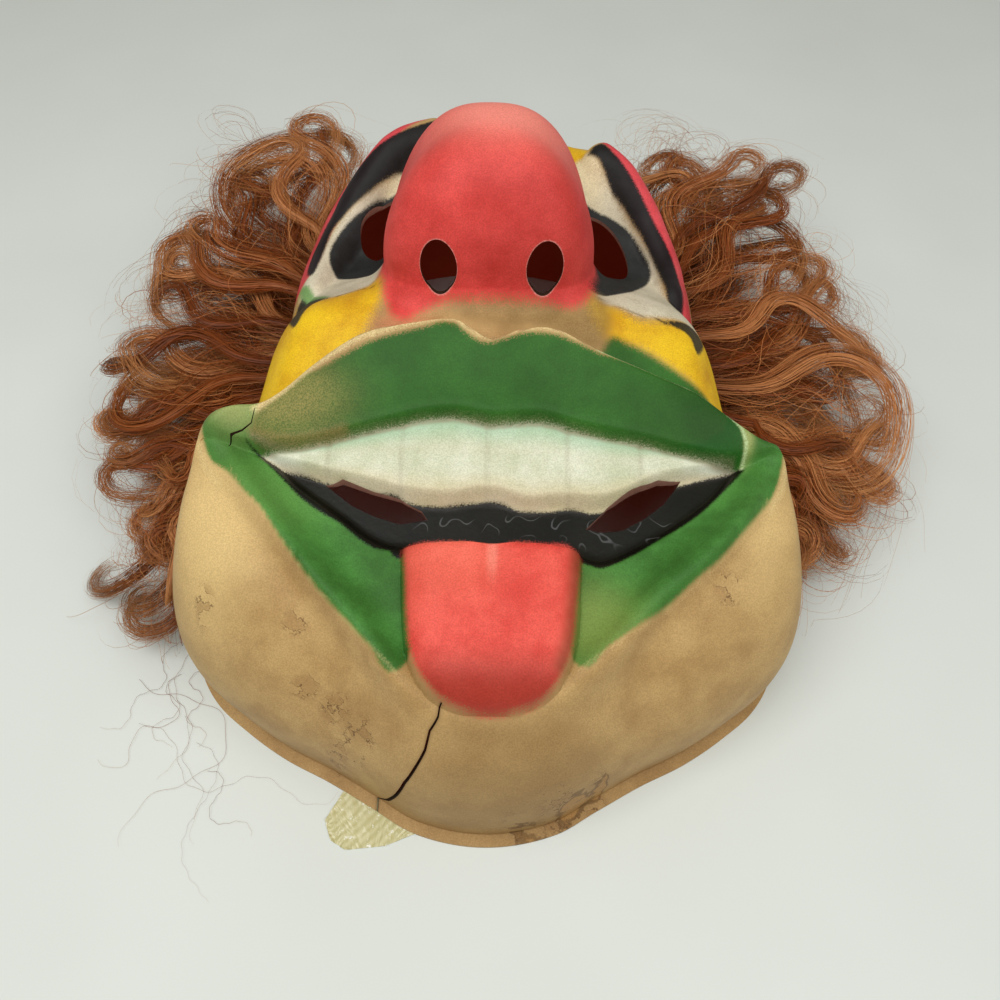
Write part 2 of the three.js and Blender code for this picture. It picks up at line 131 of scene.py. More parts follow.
def laid(material, under, over, *shares):
    """One colour laid over another by its shares multiplied together."""
    share = shares[0]
    for other in shares[1:]:
        share = node(material, "ShaderNodeMath", {"operation": "MULTIPLY"}, {0: share, 1: other}).outputs[0]
    under, over = [linear(colour) if isinstance(colour, str) else colour for colour in (under, over)]
    return node(material, "ShaderNodeMix", {"data_type": "RGBA"}, {0: share, 6: under, 7: over}).outputs[2]


def cloudy(material, places, size, dark, light, detail=4.0):
    """A colour that drifts from dark to light in clouds about size millimetres across."""
    how = {"Vector": places, "Scale": 1 / (size * MM), "Detail": detail, "Roughness": 0.5}
    return laid(material, dark, light, node(material, "ShaderNodeTexNoise", {}, how).outputs[0])


board, places = finish("matt_painted_board", {"Roughness": 0.7})
lead(board, cloudy(board, places, TABLE_MOTTLE, "#d6dbd5", "#dfe5e0", 2.0))
table_mesh = bmesh.new()
bmesh.ops.create_grid(table_mesh, x_segments=1, y_segments=1, size=TABLE_SIZE * MM / 2)
table_data = bpy.data.meshes.new("table")
table_mesh.to_mesh(table_data)
table = link("table", table_data, board)

# Light. A soft window above the left of the mask and a wide pale ceiling before it, with the pale room all
# round.
ROOM_LIGHT = 0.3
# The columns: name, place, size and power in watts.
LAMPS = [
    ("window", (-300, -260, 850), 560, 4.2),
    ("ceiling", (440, -400, 900), 850, 4.5),
]

room = bpy.data.worlds.new("room")
room.use_nodes = True
room.node_tree.nodes["Background"].inputs["Color"].default_value = linear("#fffaf0")
room.node_tree.nodes["Background"].inputs["Strength"].default_value = ROOM_LIGHT
bpy.context.scene.world = room
for name, spot, size, power in LAMPS:
    lamp_data = bpy.data.lights.new(name, "AREA")
    lamp_data.size = size * MM
    lamp_data.energy = power
    lamp = link(name, lamp_data)
    lamp.location = Vector(spot) * MM
    lamp.rotation_euler = (-lamp.location).to_track_quat("-Z", "Y").to_euler()

# Face shell. One sheet of thin plastic, moulded hot over a form, trimmed to a narrow flange that it lies on,
# with the eye holes, nostrils and mouth slots cut out afterwards and two cracks where it has split.
WALL = 1.2
FLANGE = 4
SHARP_BEND = math.radians(48)
CENTRE_Y = 140
MASK_LENGTH = 283
# The sheet is a grid, whose rows and columns are closer together near the rim and about the mouth.
COLUMNS = 204
ROWS = 210
SPREAD = 1.3
ROW_SHARE = [(-1, -1), (-0.67, -0.72), (-0.36, -0.43), (0.32, 0.05), (0.68, 0.53), (1, 1)]
# The right half of the rim in plan. Then, by places up the face: the height of its middle, how far it falls
# towards its sides, how wide the side walls rise, how squarely they do, and how far they belly out.
RIM_POINTS = [
    (0, 0), (24, 4.2), (39, 12.3), (54.5, 20.8), (71, 28.7), (86, 38.3), (99, 49), (107, 62), (110, 80),
    (108, 104), (103, 132), (99, 160), (96, 190), (90, 220), (76, 248), (52, 271), (22, 282),
    (0, MASK_LENGTH),
]
CROWN = [
    (0, 58), (20, 63), (40, 68), (60, 72), (80, 75), (100, 79), (115, 83), (130, 88), (145, 94),
    (160, 97), (180, 93), (200, 89), (220, 92), (240, 101), (255, 103), (270, 98), (290, 86),
]
FALL = [
    (0, 14), (40, 10), (80, 6), (110, 8), (130, 16), (150, 27), (170, 36), (190, 38), (215, 34), (245, 42),
    (285, 56),
]
RISE_WIDTH = [
    (0, 24), (60, 20), (100, 15), (115, 13), (127, 14), (140, 26), (155, 28), (180, 30), (205, 24),
    (240, 22), (MASK_LENGTH, 30),
]
RISE_POWER = [(0, 2.3), (60, 2.5), (125, 2.5), (140, 2), (150, 2.1), (285, 2.1)]
BELLY = [(0, 0), (20, 1), (45, 3), (70, 4.5), (95, 3), (115, 2), (140, 0), (180, 0), (220, 2), (283, 0)]
FLANK_FULLNESS = 0.35
TEMPLE_DIP = 4
EAR_ROUNDING = 14
# Soft hills and hollows: height, middle, reach to the side, reach up the face.
PAIRED_FORMS = {
    "jowl": (3, 80, 62, 22, 26),
    "chin_hollow": (-3.5, 50, 20, 12, 30),
    "cheekbone": (6, 62, 158, 22, 18),
    "eye_socket": (-8, 46, 205, 20, 17),
}
SINGLE_FORMS = {
    "right_brow_dent": (-7, 28, 252, 13, 16),
    "left_brow_dent": (-4, -24, 254, 12, 12),
    "left_mouth_corner": (9, -90, 121, 10, 9),
    "right_mouth_corner": (3, 91, 114, 9, 9),
}
# The mouth's lines in plan, from its left corner to its right.
LIP_TOP = [
    (-98, 112), (-88, 119), (-76, 122), (-69, 126), (-58, 134), (-43, 141.5), (-24, 144.5), (-12, 145),
    (-1, 139.5), (10, 142.5), (20, 143), (35, 137), (55, 131), (68, 127.5), (80, 120), (90, 113.5), (98, 110),
]
LIP_BOTTOM = [
    (-96, 110), (-80, 108), (-62, 107.5), (-49, 110), (-36, 113), (-23, 116), (-12, 117), (0, 115), (16, 116),
    (29, 113), (49, 110), (69, 107), (84, 106), (96, 108),
]
TEETH_EDGE = [
    (-94, 108), (-78, 107), (-69, 103), (-55, 98.5), (-38, 94), (-26, 91), (-14, 90), (0, 92), (12, 89),
    (24, 90), (34, 89.5), (44, 92.5), (52, 97), (66, 101.5), (84, 105.5), (94, 107),
]
MOUTH_FLOOR = [
    (-92, 108), (-78, 106.5), (-62, 94), (-48, 84), (-36, 75.5), (-26, 73), (26, 72), (35, 69.5), (47, 74.5),
    (60, 82.5), (72, 92), (83, 104), (92, 107),
]
LOWER_LIP = [
    (-98, 110), (-90, 105), (-79, 92), (-66, 76.5), (-52, 60), (-38, 44.5), (-28, 33), (-14, 25), (0, 24),
    (14, 25), (28, 32.5), (38, 40), (52, 56), (67, 69), (80, 83), (91, 98), (98, 108),
]
# Heights of the lips, the teeth, the floor of the mouth, the lower lip's crest and the tongue.
LIP_HEIGHT = [(0, 13), (40, 13), (75, 10), (92, 6), (99, 1), (110, 0)]
LIP_STEP = 0.42
TEETH_HEIGHT = [(0, 6), (60, 6), (94, 0)]
TOOTH_GAPS = (-53, -29, -1, 25, 49)
TOOTH_GROOVE = 0.7
FLOOR_DEPTH = 4
CREST_HEIGHT = 7
CREST_INWARD = 10
CREST_OUTWARD = 4.8
TONGUE_X = 0.8
TONGUE_WIDTH = [(24, 8), (28, 17), (35, 23), (48, 26.5), (72, 28), (80, 27.5)]
TONGUE_TIP = 24
TONGUE_ROOT = 71
TONGUE_HEIGHT = 9.5
TONGUE_GROOVE = 1.2
NOSE_X, NOSE_Y, NOSE_HALF_WIDTH, NOSE_HALF_LENGTH, NOSE_HEIGHT = -2, 194.5, 38, 34.5, 47
NOSE_SQUARE_FRONT = 3.8
NOSE_SQUARE_BACK = 2.8
NOSE_DOME = 2.1
FLARE_HEIGHT = 6
FLARE_REACH = 0.2
BROWS = [
    [(-26, 251), (-42, 241), (-56, 224), (-66, 205), (-73, 186)],
    [(43, 241), (52, 235), (62, 223), (70, 205), (73, 188)],
]
BROW_HALF = 9
BROW_HEIGHT = 8
# The openings: ovals by middle and half sizes, slots by outline, cracks by line. Then how far each cut
# reaches, up from the table or along the face.
EYES = [(-38, 213, 15.2, 11.5), (39, 204, 14.2, 16)]
NOSTRILS = [(-18.5, 110, 6.2, 10), (17, 110, 6.2, 10)]
SLOTS = [
    [(-54, 97.5), (-45, 90.5), (-38, 87), (-29, 84), (-20, 85.5), (-22, 88.5), (-29, 92), (-38, 94.5),
     (-48, 97.8)],
    [(63, 101), (55, 99.5), (49, 97), (43, 93.5), (38, 90.5), (31, 83.5), (36, 82.5), (43, 83.5),
     (50, 87.5), (57, 93)],
]
CHIN_CRACK = [
    (-13, 67), (-14, 63), (-16.5, 59), (-18, 53), (-21, 46), (-25, 36), (-29, 22), (-33, 9), (-38, -1),
]
CORNER_CRACK = [(-77, 117), (-78, 113), (-81, 111), (-84.5, 109.5), (-85.5, 107)]
CRACK_WIDTH = (0.5, 1.6)
EYE_CUT = (50, 110)
SLOT_CUT = (55, 90)
NOSTRIL_CUT = (150, 176)
CHIN_CRACK_CUT = (-4, 28)
CORNER_CRACK_CUT = (60, 100)
# The tape that is stuck under the rim, and the room cut for it.
TAPE_OUTLINE = [
    (-54.6, 8.2), (-52.1, 1.8), (-46.7, -1.3), (-33.4, 0.1), (-22.5, 4.6), (-27, 15.5), (-46, 24),
]
TAPE_ROOM = 0.6
TAPE_ROOM_CUT = (-1, 0.8)
# The last kind of face, the cut walls of the nostrils and cracks, is coloured in painted shade.
PAINTED_SKIN, BARE_INSIDE, CLEAN_EDGE, SHADED_EDGE = range(4)
# The patch at the ear-like mouth corners, where the sheet folds sharply: from x, middle y, half y, from z.
EAR_PATCH = (84, 108, 16, 62)


def along(table, at):
    """A smooth curve through a table of places and values, read at one place or at many."""
    spots, values = np.array(table, float).T
    last = len(spots) - 1
    x = np.clip(at, spots[0], spots[-1])
    i = np.clip(np.searchsorted(spots, x, side="right") - 1, 0, last - 1)
    before, after = np.maximum(i - 1, 0), np.minimum(i + 2, last)
    step = spots[i + 1] - spots[i]
    f = (x - spots[i]) / step
    inward = step * (values[i + 1] - values[before]) / (spots[i + 1] - spots[before])
    outward = step * (values[after] - values[i]) / (spots[after] - spots[i])
    return (
        (2 * f**3 - 3 * f**2 + 1) * values[i] + (f**3 - 2 * f**2 + f) * inward
        + (3 * f**2 - 2 * f**3) * values[i + 1] + (f**3 - f**2) * outward
    )


def ease(start, end, value):
    """0 before start, 1 after end, smooth between."""
    t = np.clip((value - start) / (end - start), 0, 1)
    return t * t * (3 - 2 * t)


def lump(x, y, cx, cy, rx, ry):
    """A round hill of height 1 about a middle."""
    return np.exp(-(((x - cx) / rx) ** 2) - ((y - cy) / ry) ** 2)


def chain_distance(x, y, chain):
    """Distance from each point to a chain of straight pieces."""
    best = np.full(np.shape(x), np.inf)
    for (ax, ay), (bx, by) in zip(chain, chain[1:]):
        dx, dy = bx - ax, by - ay
        t = np.clip(((x - ax) * dx + (y - ay) * dy) / (dx * dx + dy * dy), 0, 1)
        best = np.minimum(best, np.hypot(x - ax - t * dx, y - ay - t * dy))
    return best


rim_polar = [(math.degrees(math.atan2(y - CENTRE_Y, x)), math.hypot(x, y - CENTRE_Y)) for x, y in RIM_POINTS]
rim_table = [
    (-180 - rim_polar[1][0], rim_polar[1][1]), *rim_polar, (180 - rim_polar[-2][0], rim_polar[-2][1]),
]


def rim_radius(angle):
    """The rim's distance from the middle of the mask."""
    return along(rim_table, np.degrees(np.arctan2(np.sin(angle), np.abs(np.cos(angle)))))


def nose_radius(x, y):
    """0 at the middle of the nose, 1 at its foot."""
    squareness = np.where(y < NOSE_Y, NOSE_SQUARE_FRONT, NOSE_SQUARE_BACK)
    across = np.abs((x - NOSE_X) / NOSE_HALF_WIDTH) ** squareness
    lengthwise = np.abs((y - NOSE_Y) / NOSE_HALF_LENGTH) ** squareness
    return (across + lengthwise) ** (1 / squareness)


def nose_rise(x, y):
    """How far the nose and its flared foot stand up from the face."""
    r = nose_radius(x, y)
    dome = NOSE_HEIGHT * np.maximum(1 - r**NOSE_DOME, 0) ** (1 / NOSE_DOME)
    return dome + FLARE_HEIGHT * np.clip(1 - (r - 1) / FLARE_REACH, 0, 1) ** 2


def face_height(x, y):
    """Height of the face before the side walls cut it down."""
    side = np.abs(x)
    z = along(CROWN, y) - along(FALL, y) * (side / 100) ** 2.2
    for height, *where in PAIRED_FORMS.values():
        z += height * lump(side, y, *where)
    for height, *where in SINGLE_FORMS.values():
        z += height * lump(x, y, *where)
    # The upper lip bulges, and the teeth and the floor of the mouth step down behind it.
    lip_top, lip_bottom = along(LIP_TOP, x), along(LIP_BOTTOM, x)
    up_lip = np.clip((y - lip_bottom) / (lip_top - lip_bottom), 0, 1)
    bulge = LIP_STEP + (1 - LIP_STEP) * up_lip + 0.14 * np.sin(math.pi * up_lip)
    z += along(LIP_HEIGHT, side) * bulge * ease(-1, 1.5, y - lip_bottom) * ease(-3, 4, lip_top - y)
    inside = np.where(side < 96, ease(-1, 4, lip_bottom + 2 - y), 0)
    z -= FLOOR_DEPTH * ease(-1, 4, y - along(MOUTH_FLOOR, x)) * inside
    teeth = ease(-0.5, 3, y - along(TEETH_EDGE, x)) * inside
    z += along(TEETH_HEIGHT, side) * teeth
    for gap in TOOTH_GAPS:
        z -= TOOTH_GROOVE * np.exp(-(((x - gap) / 1.6) ** 2)) * teeth
    # The lower lip is a crest, and the tongue hangs over its middle.
    crest = y - along(LOWER_LIP, x) - 1
    ridge = np.exp(-((crest / np.where(crest > 0, CREST_INWARD, CREST_OUTWARD)) ** 2))
    z += CREST_HEIGHT * ridge * ease(104, 96, side) * ease(14, 34, side)
    across = np.clip(np.abs(x - TONGUE_X) / along(TONGUE_WIDTH, y), 0, 1)
    end = np.clip((y - TONGUE_TIP) / 12, 0, 1)
    root = 1 - ease(TONGUE_ROOT, TONGUE_ROOT + 5, y)
    groove = TONGUE_GROOVE * np.exp(-(((x - TONGUE_X) / 4) ** 2)) * ease(45, 72, y)
    z += (TONGUE_HEIGHT * np.sqrt(1 - across**4) * np.sqrt(end * (2 - end)) - groove) * root
    # The nose and the brows stand on all that.
    z += nose_rise(x, y)
    for brow in BROWS:
        z += BROW_HEIGHT * np.maximum(1 - (chain_distance(x, y, brow) / BROW_HALF) ** 2, 0) ** 0.8
    return z


def follow_mouth(x, y):
    """The sheet's rows, bent so that they run along the mouth's lines."""
    lower = along(LOWER_LIP, x)
    floor = np.maximum(along(MOUTH_FLOOR, x), lower + 1)
    teeth = np.maximum(along(TEETH_EDGE, x), floor + 1.2)
    under = np.maximum(along(LIP_BOTTOM, x), teeth + 1.2)
    over = np.maximum(along(LIP_TOP, x), under + 2.5)
    step = np.minimum((under - floor) / 24, 1)
    # Each of these rows goes to a line of the mouth, and the rows between them are spread evenly.
    rows = [0, 16, 25, 30, 68, 75, 85, 91, 109, 113, 138, 145, 175, MASK_LENGTH + 1]
    bent = [
        0 * x, lower * 0.78, lower, np.minimum(lower + 5, (lower + floor) / 2), floor - step,
        floor + 3.5 * step, teeth - 0.5 * step, teeth + 3 * step, under - step, under + 1.5 * step,
        over - 4 * step, over + 3 * step, 175 + 0.15 * (over - 143), 0 * x + MASK_LENGTH + 1,
    ]
    out = y.copy()
    for k in range(len(rows) - 1):
        here = (y >= rows[k]) & (y < rows[k + 1])
        share = (y - rows[k]) / (rows[k + 1] - rows[k])
        out = np.where(here, bent[k] + (bent[k + 1] - bent[k]) * share, out)
    return out


def skin(column, row):
    """Points of the outer skin by column and row of the sheet."""
    # The square grid is drawn into a disc, which fills the rim's outline.
    edge = (column == 0) | (row == 0) | (column == COLUMNS) | (row == ROWS)
    p = np.clip((2 * column - COLUMNS) / np.where(edge, COLUMNS, COLUMNS - 2), -1, 1)
    q = along(ROW_SHARE, np.clip((2 * row - ROWS) / np.where(edge, ROWS, ROWS - 2), -1, 1))
    u, v = p * np.sqrt(1 - q * q / 2), q * np.sqrt(1 - p * p / 2)
    angle = np.arctan2(v, u)
    outer = rim_radius(angle)
    core = outer - FLANGE
    inset = core * np.maximum(1 - np.hypot(u, v), 0) ** SPREAD
    radius = core - inset
    # The side walls rise from the flange, squarer or rounder, and belly out.
    lengthwise = CENTRE_Y + radius * np.sin(angle)
    power = along(RISE_POWER, lengthwise)
    moved = (follow_mouth(radius * np.cos(angle), lengthwise) - lengthwise) * ease(1, 14, inset)
    inside = inset + FLANK_FULLNESS * np.maximum(moved, 0)
    low = np.clip(1 - inside / along(RISE_WIDTH, lengthwise), 0, 1)
    rise = np.maximum(1 - low**power, 0) ** (1 / power)
    swell = along(BELLY, lengthwise) * 4 * rise * (1 - rise)
    x = (radius + swell) * np.cos(angle)
    y = lengthwise + swell * np.sin(angle) + moved
    # The grid gathers where the sheet bends sharply, at the tongue's sides and the foot of the nose.
    side = np.abs(x - TONGUE_X) - along(TONGUE_WIDTH, y)
    x -= np.sign(x) * 0.6 * side * np.exp(-((side / 8) ** 2)) * ease(95, 75, y) * ease(8, 30, inset)
    r = np.maximum(nose_radius(x, y), 1e-6)
    gather = 1 - 0.8 * (1 - 1 / r) * np.exp(-(((r - 1) / 0.5) ** 2)) * ease(8, 30, inset)
    x = NOSE_X + (x - NOSE_X) * gather
    y = NOSE_Y + (y - NOSE_Y) * gather
    x = x - np.sign(x) * TEMPLE_DIP * rise * lump(np.abs(x), y, 86, 190, 16, 15)
    z = face_height(x, y) * rise + WALL * (1 - rise)
    x = np.where(edge, outer * np.cos(angle), x)
    y = np.where(edge, CENTRE_Y + outer * np.sin(angle), y)
    return np.stack([x, y, np.where(edge, WALL, z)], -1)


def set_points(mesh, points):
    """Puts a mesh's vertices at points given in millimetres from the chin."""
    mesh.vertices.foreach_set("co", (points * MM + np.array(chin)).astype(np.float32).ravel())
    mesh.update()


def get_points(items, name="co"):
    """Where a mesh's vertices, or the middles of its faces, lie in millimetres from the chin."""
    spots = np.empty(len(items) * 3, np.float32)
    items.foreach_get(name, spots)
    return (spots.reshape(-1, 3) - np.array(chin)) / MM


def add_prism(tool, outline, cut_range, upright=False):
    """Adds to a cutting tool a prism on an outline, over a range of Z, or of Y where it stands upright."""
    low, high = cut_range
    turn = (lambda u, v, w: (u, w, v)) if upright else (lambda u, v, w: (u, v, w))
    corners = [tool.verts.new(chin + Vector(turn(u, v, low)) * MM) for u, v in outline]
    face = tool.faces.new(corners)
    grown = bmesh.ops.extrude_face_region(tool, geom=[face], use_keep_orig=True)["geom"]
    move = Vector(turn(0, 0, high - low)) * MM
    bmesh.ops.translate(tool, vec=move, verts=[v for v in grown if isinstance(v, bmesh.types.BMVert)])


def oval(cx, cy, rx, ry, steps=56):
    """Corners of an oval."""
    turns = [2 * math.pi * k / steps for k in range(steps)]
    return [(cx + rx * math.cos(t), cy + ry * math.sin(t)) for t in turns]


def beside_nose(outline):
    """An outline pushed off the foot of the nose."""
    out = []
    for x, y in outline:
        grow = max(1.02 / float(nose_radius(x, y)), 1)
        out.append((NOSE_X + (x - NOSE_X) * grow, NOSE_Y + (y - NOSE_Y) * grow))
    return out


def crack_outline(line, share):
    """Outline of a crack that widens along its line, open by a share of its width, and closes at its end."""
    left, right_side = [], []
    for k, (u, v) in enumerate(line):
        before, after = line[max(k - 1, 0)], line[min(k + 1, len(line) - 1)]
        length = math.hypot(after[0] - before[0], after[1] - before[1])
        half = (CRACK_WIDTH[0] + (CRACK_WIDTH[1] - CRACK_WIDTH[0]) * k / (len(line) - 1)) / 2 * share
        half *= 0.25 if k == len(line) - 1 else 1
        du, dv = -(after[1] - before[1]) / length * half, (after[0] - before[0]) / length * half
        left.append((u + du, v + dv))
        right_side.insert(0, (u - du, v - dv))
    return right_side + left


sheet = bmesh.new()
bmesh.ops.create_grid(sheet, x_segments=COLUMNS, y_segments=ROWS, size=1)
sheet_data = bpy.data.meshes.new("moulded_sheet")
sheet.to_mesh(sheet_data)
flat = np.empty(len(sheet_data.vertices) * 3, np.float32)
sheet_data.vertices.foreach_get("co", flat)
flat = flat.reshape(-1, 3)
columns = np.rint((flat[:, 0] + 1) / 2 * COLUMNS)
rows = np.rint((flat[:, 1] + 1) / 2 * ROWS)
spot = (rows.astype(int), columns.astype(int))
grid = np.zeros((ROWS + 1, COLUMNS + 1, 3))
grid[spot] = skin(columns, rows)
# The ear-like mouth corners are rounded over, as the moulding has left them.
for _ in range(EAR_ROUNDING):
    ear = np.minimum(1.3 * lump(np.abs(grid[..., :1]), grid[..., 1:2], 93, 109, 9, 13), 0.9)
    middle = (np.roll(grid, 1, 0) + np.roll(grid, -1, 0) + np.roll(grid, 1, 1) + np.roll(grid, -1, 1)) / 4
    grid += (middle - grid) * ear
set_points(sheet_data, grid[spot])

tool = bmesh.new()
for cx, cy, rx, ry in EYES:
    add_prism(tool, beside_nose(oval(cx, cy, rx, ry)), EYE_CUT)
for outline in SLOTS:
    add_prism(tool, outline, SLOT_CUT)
clean_edges = len(tool.faces)
# The nostrils and cracks cut after this take the painted shade on their walls.
for cx, cz, rx, rz in NOSTRILS:
    add_prism(tool, oval(cx, cz, rx, rz), NOSTRIL_CUT, upright=True)
add_prism(tool, crack_outline(CHIN_CRACK, 0.8), CHIN_CRACK_CUT, upright=True)
add_prism(tool, crack_outline(CORNER_CRACK, 0.45), CORNER_CRACK_CUT)
# The rim is cut away above the tape by a little more than its outline.
tape_x = sum(x for x, y in TAPE_OUTLINE) / len(TAPE_OUTLINE)
tape_y = sum(y for x, y in TAPE_OUTLINE) / len(TAPE_OUTLINE)
tape_room = []
for x, y in TAPE_OUTLINE:
    grow = 1 + TAPE_ROOM / math.hypot(x - tape_x, y - tape_y)
    tape_room.append((tape_x + (x - tape_x) * grow, tape_y + (y - tape_y) * grow))
room = bmesh.new()
add_prism(room, tape_room, TAPE_ROOM_CUT)
tools = []
for cuts in (tool, room):
    bmesh.ops.recalc_face_normals(cuts, faces=cuts.faces)
    for k, face in enumerate(cuts.faces):
        face.material_index = SHADED_EDGE if k >= clean_edges else CLEAN_EDGE
    tools.append(bpy.data.meshes.new("cutting_tool"))
    cuts.to_mesh(tools[-1])
